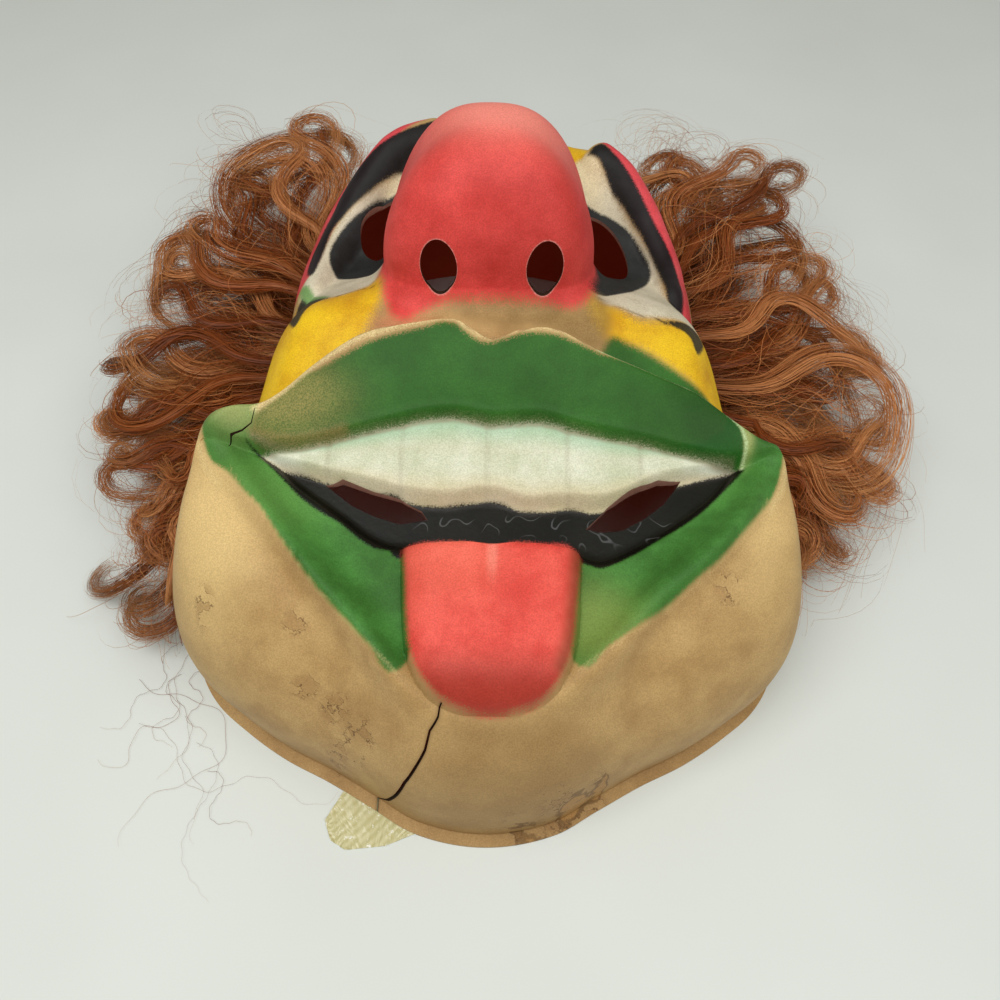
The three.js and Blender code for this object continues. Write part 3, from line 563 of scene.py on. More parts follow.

# Paint. Airbrushed through stencils on the bare tan sheet, which gives soft speckled edges and an eggshell
# gloss, with a few crisp edges along the lips, and worn, chipped and dusty since. Some of its shades and
# lines are painted shade, shadow and highlights, as marked below.
# Each stencil is an outline in plan, and each coat reads how far inside its stencil a spot lies. The columns:
# stencils, darker and lighter colour, width of the soft edge, speckle in that edge, strength.
COATS = {
    "cheek_yellow": (
        [
            [(-76, 124), (-69, 129), (-59, 135), (-50, 140), (-44, 147), (-41, 155), (-39, 164), (-40, 174),
             (-48, 171), (-56, 166), (-64, 168), (-72, 176), (-88, 180), (-96, 165), (-96, 138), (-86, 124)],
            [(33, 164), (35, 152), (40, 146), (50, 144), (57, 141), (68, 136), (77, 129), (88, 123),
             (98, 140), (98, 165), (88, 176), (77, 166), (73, 158), (66, 157), (52, 154), (44, 158)],
            [(10, 226), (20, 232), (29, 238), (36, 242), (37, 250), (28, 264), (0, 270), (-14, 262),
             (-8, 240)],
        ],
        "#d09a12", "#efc418", 3.0, 1.5, 0.97,
    ),
    "corner_green": (
        [[(36, 136), (40, 147), (47, 145), (57, 141), (68, 136), (78, 130), (83, 121), (68, 125), (57, 129),
          (45, 132)]],
        "#1d5616", "#2a6b20", 1.7, 1.4, 0.97,
    ),
    "eye_white": (
        [
            [(-22, 240), (-36, 234), (-44, 228), (-56, 220), (-65, 208), (-69, 194), (-73, 180), (-65, 169),
             (-56, 166), (-48, 171), (-41, 178), (-36, 190), (-30, 215)],
            [(34, 243), (42, 234), (50, 225), (58, 214), (64, 202), (65, 182), (71, 170), (74, 160),
             (66, 158.5), (52, 156), (44, 160), (37, 164), (34, 190), (30, 228)],
        ],
        "#c4bca2", "#e0d9bf", 1.6, 1.2, 0.96,
    ),
    "eye_ring": (
        [
            [(-34, 228), (-40, 226), (-46, 224), (-53, 219), (-59, 213), (-63, 206), (-64, 200), (-62, 194),
             (-57, 190), (-51, 187), (-43, 188), (-30, 190), (-24, 208), (-26, 226)],
            [(30, 222), (42, 222), (48, 221), (54, 218), (59, 210), (62, 202), (60, 194), (52, 178),
             (45, 170), (37, 166), (27, 170), (24, 200)],
        ],
        "#111416", "#24292b", 0.6, 0.6, 0.98,
    ),
    "eye_corner_green": (
        [[(-58, 167), (-63, 173), (-70, 183), (-74, 184), (-71, 176), (-64, 167)]],
        "#3f7a2a", "#5c9440", 1.0, 1.3, 0.85,
    ),
    "lid_black": (
        [
            [(-58, 166), (-64, 169.5), (-68, 174), (-71, 178), (-73, 179), (-77, 176), (-76, 168),
             (-73, 160), (-70, 154), (-68, 155), (-66.5, 160), (-64, 164), (-60, 165)],
            [(57, 154), (63, 156.5), (69, 158.5), (75, 159.5), (76.5, 158), (75, 153), (72.5, 148),
             (71, 148.5), (69, 152.5), (63, 154)],
        ],
        "#141512", "#22231f", 0.6, 0.6, 0.95,
    ),
    "brow_red": (
        [
            [(-18, 264), (-36, 260), (-51, 254), (-63, 246), (-73, 237), (-82, 222), (-84, 205), (-80, 186),
             (-70, 190), (-64, 212), (-50, 230), (-34, 246)],
            [(38, 250), (52, 246), (64, 236), (76, 222), (83, 205), (84, 189), (78, 173), (70, 172),
             (66, 200), (52, 228)],
        ],
        "#c93440", "#e4505a", 1.2, 1.0, 0.96,
    ),
    "brow_black": (
        [
            [(-19, 253), (-30, 247), (-38, 243), (-47, 239), (-55, 234.5), (-62, 229.5), (-68.5, 223.5),
             (-72, 215.5), (-73.5, 204), (-72, 193), (-69, 189), (-67, 198), (-64, 211), (-60, 216),
             (-55, 221), (-49, 225), (-43, 229), (-36, 233), (-26, 236), (-14, 240), (-10, 252)],
            [(36, 241), (41, 243.3), (45.3, 239.5), (51, 234.3), (58, 225.8), (64, 216), (69.3, 205.3),
             (72, 191), (72, 176), (69, 172), (66, 180), (65, 192), (63, 203), (58, 215), (52, 223),
             (46, 229), (41, 236)],
        ],
        "#0b0c0d", "#1a1c1e", 0.7, 0.7, 0.99,
    ),
    "philtrum": (
        [[(-8, 162), (-14, 157), (-8, 151), (6, 149), (20, 149), (34, 142), (40, 150), (38, 166), (20, 162)]],
        "#7d6538", "#97794a", 3.0, 2.0, 0.7,
    ),
    "nose": (
        [[(-39, 168), (-37, 159), (-35, 154), (-30, 152), (-25, 154.5), (-16, 157), (-3, 157.5), (9, 157.5),
          (19, 157.5), (27, 157.5), (32, 161), (35, 169), (30, 186), (-36, 186)]],
        "#ca3a36", "#e24c48", 1.2, 1.0, 0.98,
    ),
    "lower_lip": (
        [[(-76, 119), (-82, 123), (-88, 122), (-92.5, 117), (-94, 110), (-91, 103), (-85, 98.5), (-78, 90.5),
          (-72, 84.5), (-65, 75), (-58, 66), (-51, 58), (-43, 50), (-35, 42), (-26, 35), (-10, 60), (10, 60),
          (27, 37), (36, 43), (46, 50), (52, 54), (58, 59), (65, 65), (72, 71), (80, 80), (86, 87), (91, 93),
          (94.5, 100), (96, 107), (94.5, 114), (89, 119), (78, 124), (70, 110), (0, 105), (-70, 108)]],
        "#2c6422", "#418436", 0.8, 0.7, 0.97,
    ),
    "upper_lip": (
        [[(-78, 109), (-77, 115), (-74, 118), (-68, 122), (-62, 127), (-56, 129), (-50, 131.5), (-42, 135),
          (-34, 137.2), (-24, 139), (-17, 140.8), (-12, 140.3), (-9, 138), (-5, 135.5), (-1, 134.5),
          (4, 136), (9, 137.5), (15, 138.2), (22, 137.4), (30, 134.6), (36, 132.6), (47, 131), (57, 128.5),
          (68, 125.5), (76, 121), (81.5, 115), (83, 110), (82, 105), (69, 104.5), (59, 105.5), (49, 107.5),
          (39, 108.5), (29, 110.5), (16, 113.5), (0, 112.5), (-12, 114.5), (-23, 113.5), (-36, 110.5),
          (-49, 107.5), (-62, 105), (-72, 105.5)]],
        "#205716", "#29661d", 1.0, 1.3, 0.98,
    ),
    "teeth": (
        [[(-76, 106.5), (-69, 101.5), (-62, 99.3), (-55, 96.8), (-48, 94.8), (-38, 92.2), (-31, 91.2),
          (-26, 89.2), (-16, 88.2), (-8, 89.2), (0, 90.2), (5, 89.2), (10, 87.2), (19, 87.2), (26, 88.2),
          (34, 87.2), (44, 90.2), (50, 94.2), (63, 98.3), (72, 101.5), (82, 105), (69, 106.5), (59, 107.5),
          (49, 109.5), (39, 110.5), (29, 112.5), (16, 115.5), (0, 114.5), (-12, 116.5), (-23, 115.5),
          (-36, 112.5), (-49, 109.5), (-62, 107)]],
        "#c6caa9", "#e0e2cb", 0.5, 0.7, 0.98,
    ),
    "mouth_black": (
        [[(-80, 109), (-75, 105), (-68, 98), (-61, 91), (-54, 86), (-47, 82), (-41, 77), (-36, 74),
          (-31, 73), (-24, 70), (24, 70), (31, 69.5), (35, 68.5), (41, 71), (48, 75), (54, 79), (61, 83),
          (68, 88), (73, 93), (79, 99), (84, 105), (76, 104), (63, 100), (50, 96), (44, 92), (34, 89),
          (26, 90), (19, 89), (10, 89), (5, 91), (0, 92), (-8, 91), (-16, 90), (-26, 91), (-31, 93),
          (-38, 94), (-48, 96.5), (-55, 98.5), (-62, 101), (-69, 103)]],
        "#080503", "#14100b", 0.6, 0.6, 0.99,
    ),
    "tongue": (
        [[(-27, 73), (-25.5, 76), (-22, 77.5), (-16, 78), (-6, 77.8), (-2, 76.4), (1, 74.6), (4, 76.6),
          (8, 78.3), (16, 78), (23, 78), (26.5, 76.5), (28.5, 73), (28, 65), (27, 57), (26, 48), (24.5, 40),
          (21, 32.5), (15.5, 27), (8, 24.5), (1, 23.5), (-6, 24.5), (-12.5, 27), (-17.5, 31), (-21, 36),
          (-23, 42), (-24.5, 51), (-25.5, 63)]],
        "#d64238", "#ee5f52", 1.3, 0.9, 0.98,
    ),
}
# Where a coat is thicker, faded, or painted with shade and highlights. The columns: the value kept for it,
# where that starts to show and where it is full, strength, ink.
SHADES = {
    # The bare tan gets painted shade towards the table and in the chin's middle, and painted highlights on
    # the jowls.
    "bare": [
        ("height", 40, 4, 0.28, "#93704a"),
        ("chin_shade", 0, 1, 0.6, "#94764a"),
        ("jowl_highlight", 0, 1, 0.8, "#e0c284"),
    ],
    "eye_white": [("cream", 0, 1, 0.7, "#ecdcae")],
    # Painted shade low on the nose's right side, and a painted highlight on its top.
    "nose": [("nose_shade", 0, 1, 0.3, "#a92a28"), ("nose_highlight", 0, 1, 0.9, "#fb9484")],
    "lower_lip": [
        ("right_of_tongue", 0, 1, 0.6, "#8a9c4c"),
        ("left_lower", 0, 1, 0.6, "#5f9544"),
        ("ear_light", 0, 1, 0.8, "#a3ac68"),
    ],
    "upper_lip": [("right_lip", 0, 1, 0.9, "#15480f")],
    "teeth": [
        ("tooth_height", 0.4, 0.0, 0.5, "#d8bd8e"),
        ("tooth_height", 0.62, 0.92, 0.55, "#8cc09a"),
        ("tooth_gap", 1.6, 0.2, 0.25, "#9a9078"),
    ],
    "tongue": [
        # A painted highlight at the tongue's upper left.
        ("tongue_highlight", 0, 1, 0.45, "#f87c62"),
        ("tongue_groove", 0, 1, 0.4, "#ffa890"),
        ("tongue_low", 0, 1, 0.85, "#98281c"),
    ],
}
# Round places that the shades read: middle, reach to the side, reach up the face, weight.
SPOTS = {
    # Painted shade low on the nose's right side, and a painted highlight on its top.
    "nose_shade": [(22, 168, 26, 18, 1)],
    "nose_highlight": [(2, 202, 26, 20, 1)],
    "nose_overspray": [(-30, 150.5, 11, 4.5, 1)],
    # Painted shade in the chin's middle and painted highlights on the jowls.
    "chin_shade": [(8, 14, 34, 16, 1)],
    "jowl_highlight": [(-88, 84, 18, 34, 1), (90, 84, 16, 30, 0.6)],
    "right_of_tongue": [(32, 50, 16, 15, 1)],
    "cream": [(36, 234, 9, 14, 1), (-38, 228, 8, 7, 1)],
    "left_lower": [(-72, 92, 24, 18, 1), (78, 100, 14, 14, 0.35)],
    "ear_light": [(-84, 118, 11, 8, 1), (83.5, 111, 3, 6, 1)],
    "right_lip": [(72, 116, 16, 12, 1)],
    "left_lip": [(-67, 120, 21, 12, 1)],
    # A painted highlight at the tongue's upper left.
    "tongue_highlight": [(-12, 68, 16, 16, 1)],
    "tongue_groove": [(1, 68, 1.8, 8, 1)],
}
# Lines drawn, worn or painted as shadow and highlights along an edge. The columns: half width, softness,
# strength, ink, the lines in plan. The last two have no lines of their own, because they follow the cuts.
LINES = {
    "lid_line": (
        0.45, 0.5, 0.85, "#1c1b16",
        [
            [(-40, 170), (-48, 170.5), (-56, 165.5), (-62, 167)],
            [(37, 164), (44, 160), (52, 156), (60, 155), (66, 157)],
        ],
    ),
    # A cream line along the upper lip's top: a pale ridge at the left, and painted highlights across the
    # middle.
    "lip_ridge_and_highlight": (
        0.8, 1.4, 0.75, "#ead69c",
        [
            [(-77, 117), (-68, 123), (-61, 128.5), (-50, 134.5), (-40, 139), (-33, 142)],
            [(-40, 138), (-33, 139.8), (-24, 141.3), (-17, 143), (-12, 142.6), (-9, 140.3), (-5, 137.8),
             (-1, 136.8), (4, 138.2), (9, 139.8), (15, 140.5), (22, 139.7), (30, 137), (36, 134.8)],
        ],
    ),
    "lip_light": (
        0.5, 0.6, 0.85, "#bdd29a",
        [[(34, 134.2), (47, 130.8), (57, 128.2), (68, 125.2), (76, 120.8), (82, 114.6), (83.6, 110),
          (83.5, 105)]],
    ),
    # A painted shadow under the upper lip's edge.
    "shadow_under_lip": (
        0.6, 1.2, 0.65, "#8c8466",
        [[(-78, 110), (-70, 107.3), (-62, 106.8), (-49, 109.2), (-36, 112.2), (-23, 115.2), (-12, 116.2),
          (0, 114.3), (16, 115.2), (29, 112.2), (39, 110.2), (49, 109.2), (59, 107.2), (69, 106.2),
          (80, 105.8)]],
    ),
    "worn_edge": (
        1.0, 2.0, 0.6, "#8f7648",
        [[(-78, 111.5), (-72, 109.5), (-64, 108.6), (-55, 109.6), (-48, 111)]],
    ),
    # Painted highlights along the lower lip's crest.
    "lip_crest_highlight": (
        0.2, 0.9, 0.45, "#d8bd80",
        [
            [(-84, 99), (-78, 90.5), (-72, 84.5), (-65, 75), (-58, 66), (-51, 58), (-43, 50), (-35, 42),
             (-26, 34)],
            [(27, 36), (36, 42), (46, 49), (58, 58), (65, 64), (72, 70), (80, 79), (86, 86), (90, 93)],
        ],
    ),
    "ear_edge": (
        0.8, 1.2, 0.8, "#d8bf84",
        [
            [(-76, 123), (-83, 126), (-90, 124), (-95, 118), (-96.5, 110), (-93.5, 102), (-87, 95)],
            [(84, 121), (91, 121), (96.5, 115), (98, 107), (96.5, 99), (91, 90)],
        ],
    ),
    "crack": (0.5, 0.7, 0.6, "#5f4226", []),
    "nostril_rim": (0.15, 0.3, 0.75, "#d8a398", []),
}
# The shaded sides of the tongue, and the chips at the chin's rim.
TONGUE_SIDES = [[(27.5, 74), (26.5, 60), (25, 46), (22, 36)], [(-27, 74), (-25.5, 60), (-24.5, 46)]]
CHIPS = [
    [(24, 8), (29, 11.5), (35, 14.5), (39, 17.5), (42.5, 17), (40, 14), (35, 11), (30, 7.5), (26, 5)],
    [(8, 4.2), (14, 5.5), (21, 6.5), (21.5, 3.5), (16, 1.5), (10, 0.8)],
]
# Marks of wear: middle, reach to the side, reach up the face.
MARKS = {
    "peeling": [
        (-56, 37, 7, 3.5), (-47, 31, 7, 4.5), (-40, 23, 8, 6), (-49, 22, 5, 4), (-59, 52, 5.5, 4.5),
        (28, 8, 14, 5), (39, 14, 6, 5), (12, 3, 9, 4), (75, 64, 7, 6), (-90, 60, 5, 7),
    ],
    "scuffed": [(12, 84, 20, 4), (34, 82, 12, 6), (52, 84, 10, 5), (-14, 84, 14, 3)],
}
# Cloudy noises: the size of a cloud in millimetres, detail, roughness. The airbrush's own droplets are finer
# than the picture shows, so their grain is drawn at half a millimetre.
CLOUDS = {
    "grain": (0.5, 2, 0.6),
    "mottle": (16, 4, 0.6),
    "blots": (6, 3, 0.6),
    "drops": (6, 0, 0.5),
    "dust": (1.6, 5, 0.75),
    "pores": (1.4, 4, 0.6),
}
PORE_DEPTH = 0.2
# The grain strays so little from its middle value that this brings the speckle to the width asked for.
SPECKLE_GAIN = 3.5
# How high up the nose its red begins.
NOSE_PAINT_FOOT = 4


def smooth_outline(outline, steps=4):
    """A closed outline led smoothly through its corners."""
    spots = np.array(outline, float)
    before, after = np.roll(spots, 1, 0), np.roll(spots, -1, 0)
    beyond = np.roll(spots, -2, 0)
    parts = []
    for t in np.arange(steps) / steps:
        parts.append(
            (2 * spots + (after - before) * t + (2 * before - 5 * spots + 4 * after - beyond) * t**2
             + (3 * spots - before - 3 * after + beyond) * t**3) / 2
        )
    return [tuple(spot) for spot in np.stack(parts, 1).reshape(-1, 2)]


def inside_distance(x, y, outline):
    """Distance of each point from an outline, positive inside it."""
    closed = outline + outline[:1]
    inside = np.zeros(np.shape(x), bool)
    for (ax, ay), (bx, by) in zip(closed, closed[1:]):
        if ay != by:
            inside ^= ((ay > y) != (by > y)) & (x < (bx - ax) * (y - ay) / (by - ay) + ax)
    return np.where(inside, 1, -1) * chain_distance(x, y, closed)


def write(mesh, name, values):
    """Keeps one value for each vertex of a mesh, for its material to read."""
    mesh.attributes.new(name, "FLOAT", "POINT").data.foreach_set("value", values.astype(np.float32))


def passed(material, value, low, high, start=0.0, end=1.0):
    """How far a value, or the one that a mesh keeps under a name, has gone from low to high."""
    if isinstance(value, str):
        value = node(material, "ShaderNodeAttribute", {"attribute_name": value}).outputs["Fac"]
    steps = {0: value, 1: low, 2: high, 3: start, 4: end}
    return node(material, "ShaderNodeMapRange", {"interpolation_type": "SMOOTHSTEP"}, steps).outputs[0]


paint, places = finish("airbrushed_plastic", {"Specular IOR Level": 0.22})
clouds = {}
for name, (size, detail, roughness) in CLOUDS.items():
    how = {"Vector": places, "Scale": 1 / (size * MM), "Detail": detail, "Roughness": roughness}
    clouds[name] = node(paint, "ShaderNodeTexNoise", {}, how).outputs[0]
grain, blots = clouds["grain"], clouds["blots"]
speck = node(paint, "ShaderNodeMath", {"operation": "SUBTRACT"}, {0: grain, 1: 0.5}).outputs[0]
uneven = passed(paint, clouds["mottle"], 0.3, 0.7)


def roughened(name, noise, amount):
    """The value that the sheet keeps under a name, made uneven by an amount of noise."""
    kept = node(paint, "ShaderNodeAttribute", {"attribute_name": name}).outputs["Fac"]
    terms = {0: noise, 1: amount, 2: kept}
    return node(paint, "ShaderNodeMath", {"operation": "MULTIPLY_ADD"}, terms).outputs[0]


def coat_share(name, soft, speckle, strength=1.0, shift=0.0):
    """How much of a coat lies at a spot: none outside its stencil, all inside, speckled between."""
    uneven_depth = roughened(name, speck, speckle * SPECKLE_GAIN)
    return passed(paint, uneven_depth, shift - soft, shift + soft, 0.0, strength)


def rings(height, level, width):
    """Thin closed lines where a cloudy value passes a level, like the edges of flakes and dried drops."""
    off = node(paint, "ShaderNodeMath", {"operation": "SUBTRACT"}, {0: height, 1: level}).outputs[0]
    off = node(paint, "ShaderNodeMath", {"operation": "ABSOLUTE"}, {0: off}).outputs[0]
    return passed(paint, off, width, width * 0.3)


def shaded(coat, name):
    """A coat with its shades laid on it, one after another, some of them painted shade and highlights."""
    for kept, low, high, strength, ink in SHADES.get(name, ()):
        coat = laid(paint, coat, ink, passed(paint, kept, low, high, 0.0, strength))
    return coat


colour = shaded(laid(paint, "#a88654", "#bd9c66", uneven), "bare")
for name, (stencils, dark, light, soft, speckle, strength) in COATS.items():
    coat = laid(paint, dark, light, uneven)
    if name == "nose":
        colour = laid(paint, colour, "#cf6a50", passed(paint, "nose_overspray", 0, 1, 0.0, 0.5))
    if name == "upper_lip":
        worn = passed(paint, "left_lip", 0, 1, 0.0, 0.8)
        coat = laid(paint, coat, "#9a8a4c", worn, passed(paint, grain, 0.3, 0.65, 0.45, 1.0))
    coat = shaded(coat, name)
    if name == "teeth":
        coat = laid(paint, coat, "#8f836a", coat_share("lip_shadow", 0.9, 0.6, 0.7, -0.6))
    if name == "mouth_black":
        drops = rings(clouds["drops"], 0.6, 0.025)
        coat = laid(paint, coat, "#77797a", drops, passed(paint, "scuffed", 0.3, 0.8, 0.0, 0.36))
    if name == "tongue":
        coat = laid(paint, coat, "#6d4326", coat_share("tongue_side", 2.2, 1.2, 0.6))
    colour = laid(paint, colour, coat, coat_share(name, soft, speckle, strength))
# Lines along edges, among them a painted shadow and painted highlights along the lips.
for name, (half, soft, strength, ink, lines) in LINES.items():
    colour = laid(paint, colour, ink, coat_share(name, soft, soft * 0.6, strength, -half))
peeled = passed(paint, "peeling", 0.35, 0.8)
colour = laid(paint, colour, "#5a3c20", peeled, rings(blots, 0.52, 0.018), 0.75)
colour = laid(paint, colour, "#8a6238", peeled, passed(paint, blots, 0.52, 0.56), 0.35)
ragged = roughened("chips", blots, 2.2)
colour = laid(paint, colour, "#ad8044", passed(paint, ragged, 0.9, 1.4, 0.0, 0.55))
colour = laid(paint, colour, "#5c401f", rings(ragged, 1.1, 0.28), 0.6)
colour = laid(paint, colour, "#3d2a1a", passed(paint, clouds["dust"], 0.68, 0.75, 0.0, 0.5))
fleck = passed(paint, grain, 0.3, 0.7, 0.87, 1.13)
fleck = node(paint, "ShaderNodeCombineColor", {}, {0: fleck, 1: fleck, 2: fleck}).outputs[0]
how = {"data_type": "RGBA", "blend_type": "MULTIPLY"}
colour = node(paint, "ShaderNodeMix", how, {0: 1.0, 6: colour, 7: fleck}).outputs[2]
lead(paint, colour)
lead(paint, passed(paint, "mouth_black", -0.5, 0.5, 0.55, 0.4), "Roughness")
how = {"Strength": 0.35, "Distance": PORE_DEPTH * MM, "Height": clouds["pores"]}
lead(paint, node(paint, "ShaderNodeBump", {}, how).outputs[0], "Normal")

# The bare inside of the sheet is red-brown, partly its raw colour and partly a painted stand-in for the
# daylight that comes through the painted sheet, and it glows a little, painted light for the daylight that
# the thin sheet lets through.
painted_glow = {"Emission Color": linear("#7a2008"), "Emission Strength": 0.12}
raw, places = finish("raw_moulded_plastic", {"Roughness": 0.5, "Specular IOR Level": 0.2, **painted_glow})
lead(raw, cloudy(raw, places, 9, "#7a240e", "#92381c"))

# A knife has left the trimmed edges paler and matt.
cut, places = finish("trimmed_plastic_edge", {"Roughness": 0.55})
lead(cut, cloudy(cut, places, 1.5, "#7c5446", "#a87c6a"))

# The cut walls of the cracks and nostrils are coloured near black, painted shade that makes them read as dark
# lines.
crack_shade, places = finish("painted_shade_in_cracks", {"Roughness": 0.8, "Specular IOR Level": 0.15})
lead(crack_shade, cloudy(crack_shade, places, 2, "#20140c", "#3c2818"))

sheet_object = link("moulded_sheet", sheet_data, paint, raw, cut, crack_shade)
thick = sheet_object.modifiers.new("wall", "SOLIDIFY")
thick.thickness = WALL * MM
thick.offset = -1
thick.material_offset = BARE_INSIDE
thick.material_offset_rim = PAINTED_SKIN
tool_objects = [link("cutting_tool", data, paint, raw, cut, crack_shade) for data in tools]
for tool_object in tool_objects:
    trim = sheet_object.modifiers.new("trimming", "BOOLEAN")
    trim.operation = "DIFFERENCE"
    trim.solver = "MANIFOLD"
    trim.object = tool_object
bpy.context.view_layer.update()
depsgraph = bpy.context.evaluated_depsgraph_get()
shell_data = bpy.data.meshes.new_from_object(sheet_object.evaluated_get(depsgraph))
bpy.data.objects.remove(sheet_object)
for tool_object in tool_objects:
    bpy.data.objects.remove(tool_object)
middles = get_points(shell_data.polygons, "center")
kinds = np.empty(len(shell_data.polygons), np.int32)
shell_data.polygons.foreach_get("material_index", kinds)
# At the sharp fold of the ear-like mouth corners the paint has run round to the inner wall.
from_side, off_ear, top = np.abs(middles[:, 0]), np.abs(middles[:, 1] - EAR_PATCH[1]), middles[:, 2]
at_ear = (from_side > EAR_PATCH[0]) & (off_ear < EAR_PATCH[2]) & (top > EAR_PATCH[3])
kinds[at_ear & (kinds == BARE_INSIDE)] = PAINTED_SKIN
shell_data.polygons.foreach_set("material_index", kinds)
shell_data.shade_smooth()
shell_data.set_sharp_from_angle(angle=SHARP_BEND)

x, y, z = get_points(shell_data.vertices).T
for name, (stencils, *how) in COATS.items():
    depth = np.max([inside_distance(x, y, smooth_outline(outline)) for outline in stencils], axis=0)
    if name == "nose":
        depth = np.clip(np.maximum(nose_rise(x, y) - NOSE_PAINT_FOOT, 0.55 * depth), -9, 9)
    write(shell_data, name, depth)
for name, spots in SPOTS.items():
    write(shell_data, name, sum(weight * lump(x, y, *spot) for *spot, weight in spots))
for name, (*how, lines) in LINES.items():
    if lines:
        write(shell_data, name, -np.min([chain_distance(x, y, line) for line in lines], axis=0))
write(shell_data, "crack", -np.where(y < CHIN_CRACK_CUT[1] + 2, chain_distance(x, z, CHIN_CRACK), 99))
off_rim = [(np.hypot((x - cx) / rx, (z - cz) / rz) - 1) * rx for cx, cz, rx, rz in NOSTRILS]
on_nose = (y > NOSTRIL_CUT[0]) & (y < NOSTRIL_CUT[1])
write(shell_data, "nostril_rim", np.where(on_nose, -np.min(np.abs(off_rim), axis=0), -99))
# The height is read by the painted shade that darkens the bare tan towards the table.
write(shell_data, "height", z)
tooth_low, tooth_top = along(TEETH_EDGE, x), along(LIP_BOTTOM, x)
write(shell_data, "tooth_height", (y - tooth_low) / (tooth_top - tooth_low + 0.01))
write(shell_data, "tooth_gap", np.min([np.abs(x - gap) for gap in TOOTH_GAPS], axis=0))
write(shell_data, "lip_shadow", -np.abs(y - tooth_top + 0.8))
write(shell_data, "tongue_low", ease(46, 26, y))
near_side = [chain_distance(x, y, line) + 2 * k for k, line in enumerate(TONGUE_SIDES)]
write(shell_data, "tongue_side", 2.2 - np.min(near_side, axis=0))
write(shell_data, "chips", np.max([inside_distance(x, y, outline) for outline in CHIPS], axis=0))
for name, spots in MARKS.items():
    write(shell_data, name, np.max([lump(x, y, *spot) for spot in spots], axis=0))

shell = link("face_shell", shell_data)
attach(shell, "root")
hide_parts("mask_shell")

# Repair tape. A strip of clear adhesive tape, torn off, stuck under the chin's rim and sticking out. It has
# yellowed and shrunk into fine ripples; the light and shade on its ribs is painted as lighter and darker
# diagonal bands, and its glints as pale spots.
TAPE_RIPPLE = 1.3
RIPPLE_HEIGHT = 0.13
WARP_HEIGHT = 0.1
LONGEST_EDGE = 1.2
TAPE_GLINT_SIZE = 2.5
TAPE_THICK = 0.25
TAPE_HEIGHT = 0.5

strip = bmesh.new()
corners = [strip.verts.new(chin + Vector((x, y, TAPE_HEIGHT)) * MM) for x, y in TAPE_OUTLINE]
strip.faces.new(corners)
bmesh.ops.subdivide_edges(strip, edges=strip.edges, cuts=10, use_grid_fill=True)
bmesh.ops.triangulate(strip, faces=strip.faces)
for _ in range(3):
    long_edges = [e for e in strip.edges if e.calc_length() > LONGEST_EDGE * MM]
    bmesh.ops.subdivide_edges(strip, edges=long_edges, cuts=1)
    bmesh.ops.triangulate(strip, faces=strip.faces)
tape_data = bpy.data.meshes.new("repair_tape_strip")
strip.to_mesh(tape_data)
spots = get_points(tape_data.vertices)
across = (spots[:, 0] - spots[:, 1]) * 0.7
ripple = RIPPLE_HEIGHT * np.sin(across * 2 * math.pi / TAPE_RIPPLE)
spots[:, 2] = TAPE_HEIGHT + ripple + WARP_HEIGHT * np.sin(spots[:, 0] * 0.9)
set_points(tape_data, spots)
tape_film, places = finish("yellowed_adhesive_tape", {"Roughness": 0.25})
turned = node(tape_film, "ShaderNodeMapping", {}, {"Vector": places, "Rotation": (0, 0, math.pi / 4)})
# Lighter and darker diagonal bands: painted light and shade of the tape's ribs.
rib_light_and_shade = node(
    tape_film, "ShaderNodeTexWave", {"bands_direction": "X"},
    {"Vector": turned.outputs[0], "Scale": 1 / (TAPE_RIPPLE * 6 * MM), "Distortion": 3.0},
).outputs[1]
# Pale spots: painted glints.
how = {"Vector": places, "Scale": 1 / (TAPE_GLINT_SIZE * MM), "Detail": 4, "Roughness": 0.7}
glint_spots = node(tape_film, "ShaderNodeTexNoise", {}, how).outputs[0]
tint = laid(tape_film, "#bfb986", "#cfc99b", rib_light_and_shade)
lead(tape_film, laid(tape_film, tint, "#f6f7ea", passed(tape_film, glint_spots, 0.58, 0.68)))
tape_piece = link("yellowed_tape", tape_data, tape_film)
body = tape_piece.modifiers.new("film", "SOLIDIFY")
body.thickness = TAPE_THICK * MM
body.offset = -1
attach(tape_piece, "root")
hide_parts("repair_tape")

# Hair. Two tufts of synthetic hair, curled on a rod and glued behind the rim at the temples. Each is made of
# locks that leave the rim combed side by side, wave, and end in loose curls; every hair is a narrow flat
# ribbon.
HAIR_HUB = (88, 182)
ROOT_SPAN = 64
ROOT_DEPTH = 3
RAISED = 17
CURL_START = 0.45
CURL_POWER = 1.7
STRAY_SHARE = 0.06
# Hairs that reach the table settle at the first height; the lowest of them are pressed down by the second.
SETTLED = 2
PRESSED = 1.3
# How far the hairs keep off the rim beyond their roots, and the share of their length that is root.
OFF_RIM = 1.5
ROOT_SHARE = 0.12
# How far a tuft stands out from its hub, by degrees round it.
LEFT_REACH = [
    (-68, 112), (-58, 106), (-41, 92), (-20, 88), (0, 88), (20, 96), (38, 112), (48, 134), (62, 158),
    (86, 170),
]
RIGHT_REACH = [
    (-62, 98), (-47, 102), (-33, 100), (-14, 98), (5, 99), (27, 106), (43, 118), (54, 142), (66, 162),
    (86, 172),
]
LOW_REACH = [(-68, 132), (-62, 134), (-56, 126)]
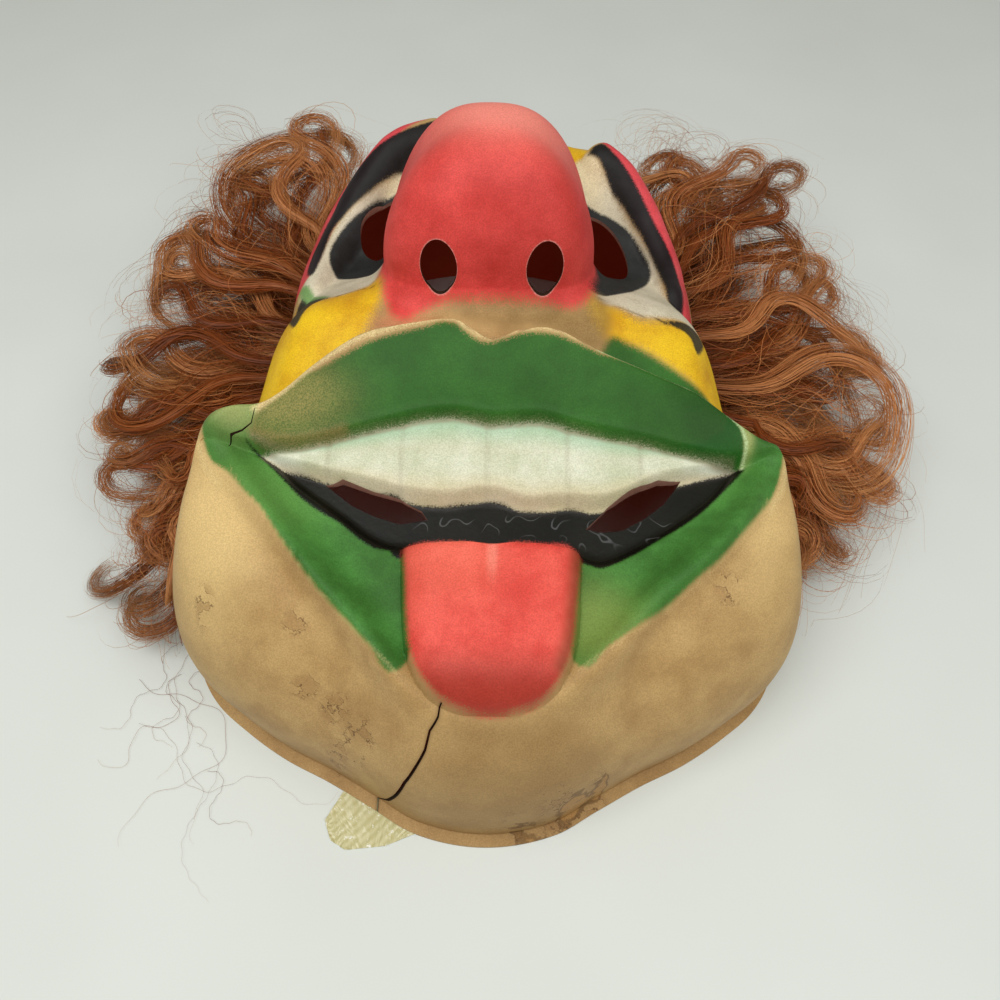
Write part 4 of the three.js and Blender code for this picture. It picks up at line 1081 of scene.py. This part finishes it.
# The columns: locks, hairs in a lock, steps along a hair, hair width, least and most radius of a lock, waves
# along it, how far they swing, least and most curl at its end, how loose its hairs are, least and most share
# of the reach, least and most height of its root, and its share of the tuft's rise off the table.
LAYERS = {
    "under": (30, 100, 20, 0.34, 8, 12, 1.3, 0.5, 0.5, 2.0, 1.2, 0.62, 0.86, 8, 30, 0.25),
    "over": (31, 98, 30, 0.27, 3.5, 7.5, 1.9, 0.85, 3.0, 7.0, 1.3, 0.84, 1.0, 16, 44, 1.0),
    "low": (3, 110, 30, 0.27, 4, 6, 0.8, 0.3, 3.6, 4.6, 1.6, 0.92, 1.0, 12, 26, 0.6),
    "frizz": (84, 10, 36, 0.17, 8, 14, 2.0, 0.8, 1.0, 6.0, 7.0, 0.8, 1.06, 10, 44, 1.0),
}
# Loose hairs on the table: where each starts, its heading in degrees and its length.
FALLEN_STEPS = 140
FALLEN = [
    (114, 60, -95, 60), (117, 66, -120, 95), (112, 52, -135, 85), (118, 72, -90, 50), (104, 34, -140, 64),
    (116, 58, -75, 40), (98, 24, -128, 40), (110, 44, -118, 50), (106, 62, -88, 40), (112, 70, -105, 56),
]

# The fibre is darker at its roots, bleached at its tips, and shines softly along each lock.
hair_fibre, places = finish("curled_synthetic_hair", {"Roughness": 0.5, "Specular IOR Level": 0.22})
strand = node(hair_fibre, "ShaderNodeUVMap", {"uv_map": "OFBake"}).outputs[0]
parts = node(hair_fibre, "ShaderNodeSeparateXYZ", {}, {0: strand})
ramp = node(hair_fibre, "ShaderNodeValToRGB", {}, {0: parts.outputs[0]})
ramp.color_ramp.elements[0].color = linear("#64300f")
ramp.color_ramp.elements[1].color = linear("#d08e56")
middle = ramp.color_ramp.elements.new(0.5)
middle.color = linear("#8b4414")
tint = laid(hair_fibre, ramp.outputs[0], "#c78e56", passed(hair_fibre, parts.outputs[1], 0.5, 1.0, 0.0, 0.6))
lead(hair_fibre, laid(hair_fibre, tint, "#54240f", passed(hair_fibre, parts.outputs[1], 0.18, 0.0, 0.0, 0.5)))


def strips(name, count, steps):
    """Flat strips of so many faces each, whose vertices are ordered by strip, side and step."""
    cloth = bmesh.new()
    bmesh.ops.create_grid(cloth, x_segments=steps, y_segments=2 * count - 1, size=1)
    cloth.faces.ensure_lookup_table()
    between = [face for k, face in enumerate(cloth.faces) if (k // steps) % 2]
    bmesh.ops.delete(cloth, geom=between, context="FACES")
    made = bpy.data.meshes.new(name)
    cloth.to_mesh(made)
    cloth.free()
    return made


def unit(vectors):
    """Vectors of length 1."""
    return vectors / np.maximum(np.linalg.norm(vectors, axis=-1, keepdims=True), 1e-6)


def ribbons(name, node_name, line, facing, width, shade):
    """A piece of hair: a flat ribbon along each line, turned to its facing, narrower at its end."""
    count, steps = line.shape[0], line.shape[1] - 1
    share = np.linspace(0, 1, steps + 1)[None, :]
    across = unit(np.cross(unit(np.gradient(line, axis=1)), facing))
    half = (width / 2 * (1 - 0.6 * share**3))[..., None]
    made = strips(name, count, steps)
    set_points(made, np.stack([line - across * half, line + across * half], 1).reshape(-1, 3))
    shade = np.broadcast_to(shade[:, None, :], (count, 2, steps + 1)).ravel()
    share = np.broadcast_to(share[:, None, :], (count, 2, steps + 1)).ravel()
    corner = np.empty(len(made.loops), np.int32)
    made.loops.foreach_get("vertex_index", corner)
    uv = made.uv_layers.new(name="OFBake")
    uv.data.foreach_set("uv", np.stack([shade[corner], share[corner]], -1).astype(np.float32).ravel())
    made.shade_smooth()
    piece = link(name, made, hair_fibre)
    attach(piece, "root")
    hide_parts(node_name)


def tuft(node_name, layer, side, reach, seed):
    """One layer of a tuft: locks fanned out from the hub, each a sheaf of hairs that run side by side."""
    (locks, hairs, steps, hair_width, thin, thick_lock, waves, swing, least_curl, most_curl, looseness,
     shortest, longest, root_low, root_high, rise) = LAYERS[layer]
    dice = np.random.default_rng(seed)
    count = locks * hairs
    lock = np.repeat(np.arange(locks), hairs)
    t = np.linspace(0, 1, steps + 1)[None, :]

    def each(low, high):
        return dice.uniform(low, high, locks)[lock][:, None]

    def own(low, high):
        return dice.uniform(low, high, count)[:, None]

    # The locks fan out from the hub, wave, and curl towards their ends; a few hairs stray from their lock.
    low, high = reach[0][0], reach[-1][0]
    fan = low + (high - low) * (np.arange(locks) + dice.uniform(0.1, 0.9, locks)) / locks
    turn = np.radians(fan)[lock][:, None]
    stray = np.where(own(0, 1) < STRAY_SHARE * looseness, 1.0, 0.0)
    handed = np.sign(each(-1, 1))
    curled = handed * each(least_curl, most_curl) * (own(0.92, 1.08) + stray * own(-0.6, 0.6))
    path = t * own(0.84, 1.0)
    wave = np.sin(each(0, 2 * math.pi) + 2 * math.pi * waves * each(0.75, 1.25) * path)
    heading = turn + swing * wave * ease(0, 0.2, path)
    heading = heading + stray * own(-1, 1) * np.sin(own(0, 6) + own(5, 16) * path)
    bent = np.maximum(path - CURL_START, 0) ** CURL_POWER
    heading = heading + curled * bent / (1 - CURL_START) ** CURL_POWER
    step_x, step_y = np.cos(heading), np.sin(heading)
    run_x = (np.cumsum(step_x, axis=1) - step_x[:, :1]) * path[:, -1:] / steps
    run_y = (np.cumsum(step_y, axis=1) - step_y[:, :1]) * path[:, -1:] / steps
    # Roots lie along the rim, and each lock is as long as brings its farthest point to the tuft's reach.
    root_y = HAIR_HUB[1] + ROOT_SPAN * np.sin(turn)
    root_angle = np.arctan2(root_y - CENTRE_Y, HAIR_HUB[0])
    root_x = rim_radius(root_angle) * np.cos(root_angle) - ROOT_DEPTH
    far = along(reach, fan)[lock][:, None] * each(shortest, longest)
    start = (root_x - HAIR_HUB[0]) * np.cos(turn) + (root_y - HAIR_HUB[1]) * np.sin(turn)
    outward = (run_x * np.cos(turn) + run_y * np.sin(turn)).max(axis=1, keepdims=True)
    lock_outward = np.maximum.reduceat(outward, np.arange(0, count, hairs))[lock]
    length = (far - start) / (lock_outward + 0.06)
    # The hairs wind about the line of their lock, spread out from its root and draw together at its end.
    spin = own(0, 2 * math.pi) + each(-0.9, 0.9) * t
    wide = each(thin, thick_lock) * (0.55 + 0.45 * ease(0, 0.35, t)) * (1 - 0.3 * t) * np.sqrt(own(0, 1))
    loose = own(-1, 1) * looseness * t**1.5 + 0.35 * np.sin(own(0, 6) + own(14, 26) * t)
    aside = wide * np.cos(spin) + loose
    lift = 0.55 * wide * np.sin(spin) + own(-1, 1) * looseness * 0.6 * t
    x = root_x + length * run_x - np.sin(heading) * aside
    y = root_y + length * run_y + np.cos(heading) * aside
    sideways = (run_y * np.cos(turn) - run_x * np.sin(turn)) * length
    # They come down from their roots, rise in places, and settle on the table where they reach it.
    root_z = each(root_low, root_high)
    x = x - 0.25 * np.maximum(root_z - 8, 0) * (1 - t) ** 6
    z = root_z * (1 - t) ** 0.8 + (each(8, 24) * t + 8 * np.sin(math.pi * t)) * rise
    z = z + rise * RAISED * ease(0, 50, turn * 180 / math.pi) * ease(0.1, 0.7, t)
    z = z + lift + each(-0.5, 0.5) * sideways * ease(0.3, 0.8, t)
    sunk = np.minimum(z - SETTLED, 0)
    z = np.where(sunk < 0, SETTLED - PRESSED + PRESSED * np.exp(sunk / 6), z)
    # Beyond its root, no hair runs inside the rim.
    angle = np.arctan2(y - CENTRE_Y, x)
    away = np.hypot(x, y - CENTRE_Y)
    kept = rim_radius(angle) + OFF_RIM + 2 * np.exp(-(((z - 25) / 25) ** 2))
    kept = kept + 0.5 * np.maximum(wide + aside, 0)
    away = np.where(t > ROOT_SHARE, np.maximum(away, kept), away)
    line = np.stack([side * away * np.cos(angle), CENTRE_Y + away * np.sin(angle), z], -1)
    # The ribbons face outwards from their lock.
    flat_way = np.stack([-side * np.sin(heading), np.cos(heading), 0 * heading], -1)
    tilt = own(-0.25, 0.25) + 0 * t
    facing = flat_way * (0.8 * np.cos(spin) + tilt)[..., None]
    facing = facing + np.array([0, 0, 1]) * (0.5 + 0.8 * np.sin(spin))[..., None]
    shade = np.clip(each(0.15, 0.88) + own(-0.18, 0.18), 0.01, 0.99)
    ribbons(node_name + "_" + layer, node_name, line, facing, hair_width * own(0.7, 1.2), shade)


def fallen(node_name, side, seed):
    """Single hairs that have come loose and lie on the table in wide bends."""
    dice = np.random.default_rng(seed)
    starts = np.array(FALLEN, float)
    count, t = len(starts), np.linspace(0, 1, FALLEN_STEPS + 1)[None, :]

    def own(low, high):
        return dice.uniform(low, high, count)[:, None]

    heading = np.radians(starts[:, 2:3]) + own(-1.5, 1.5) * t
    heading = heading + own(0.5, 1.2) * np.sin(own(0, 6) + own(5, 14) * t) + 0.3 * np.sin(own(24, 70) * t)
    x = starts[:, 0:1] + np.cumsum(np.cos(heading), axis=1) * starts[:, 3:4] / FALLEN_STEPS
    y = starts[:, 1:2] + np.cumsum(np.sin(heading), axis=1) * starts[:, 3:4] / FALLEN_STEPS
    angle = np.arctan2(y - CENTRE_Y, x)
    away = np.hypot(x, y - CENTRE_Y)
    away = away + np.maximum((rim_radius(angle) + 1 - away).max(axis=1, keepdims=True), 0)
    height = 0.6 + 0.5 * np.sin(own(0, 6) + 9 * t) ** 2
    line = np.stack([side * away * np.cos(angle), CENTRE_Y + away * np.sin(angle), height], -1)
    facing = np.zeros_like(line) + (0, 0, 1)
    ribbons(node_name + "_fallen", node_name, line, facing, own(0.06, 0.11), own(0.1, 0.5))


for node_name, side, reach, seed in (("hair_left", -1, LEFT_REACH, 11), ("hair_right", 1, RIGHT_REACH, 21)):
    for k, layer in enumerate(("under", "over", "frizz")):
        tuft(node_name, layer, side, reach, seed + k)
tuft("hair_left", "low", -1, LOW_REACH, 34)
fallen("hair_left", -1, 41)

bpy.context.view_layer.update()
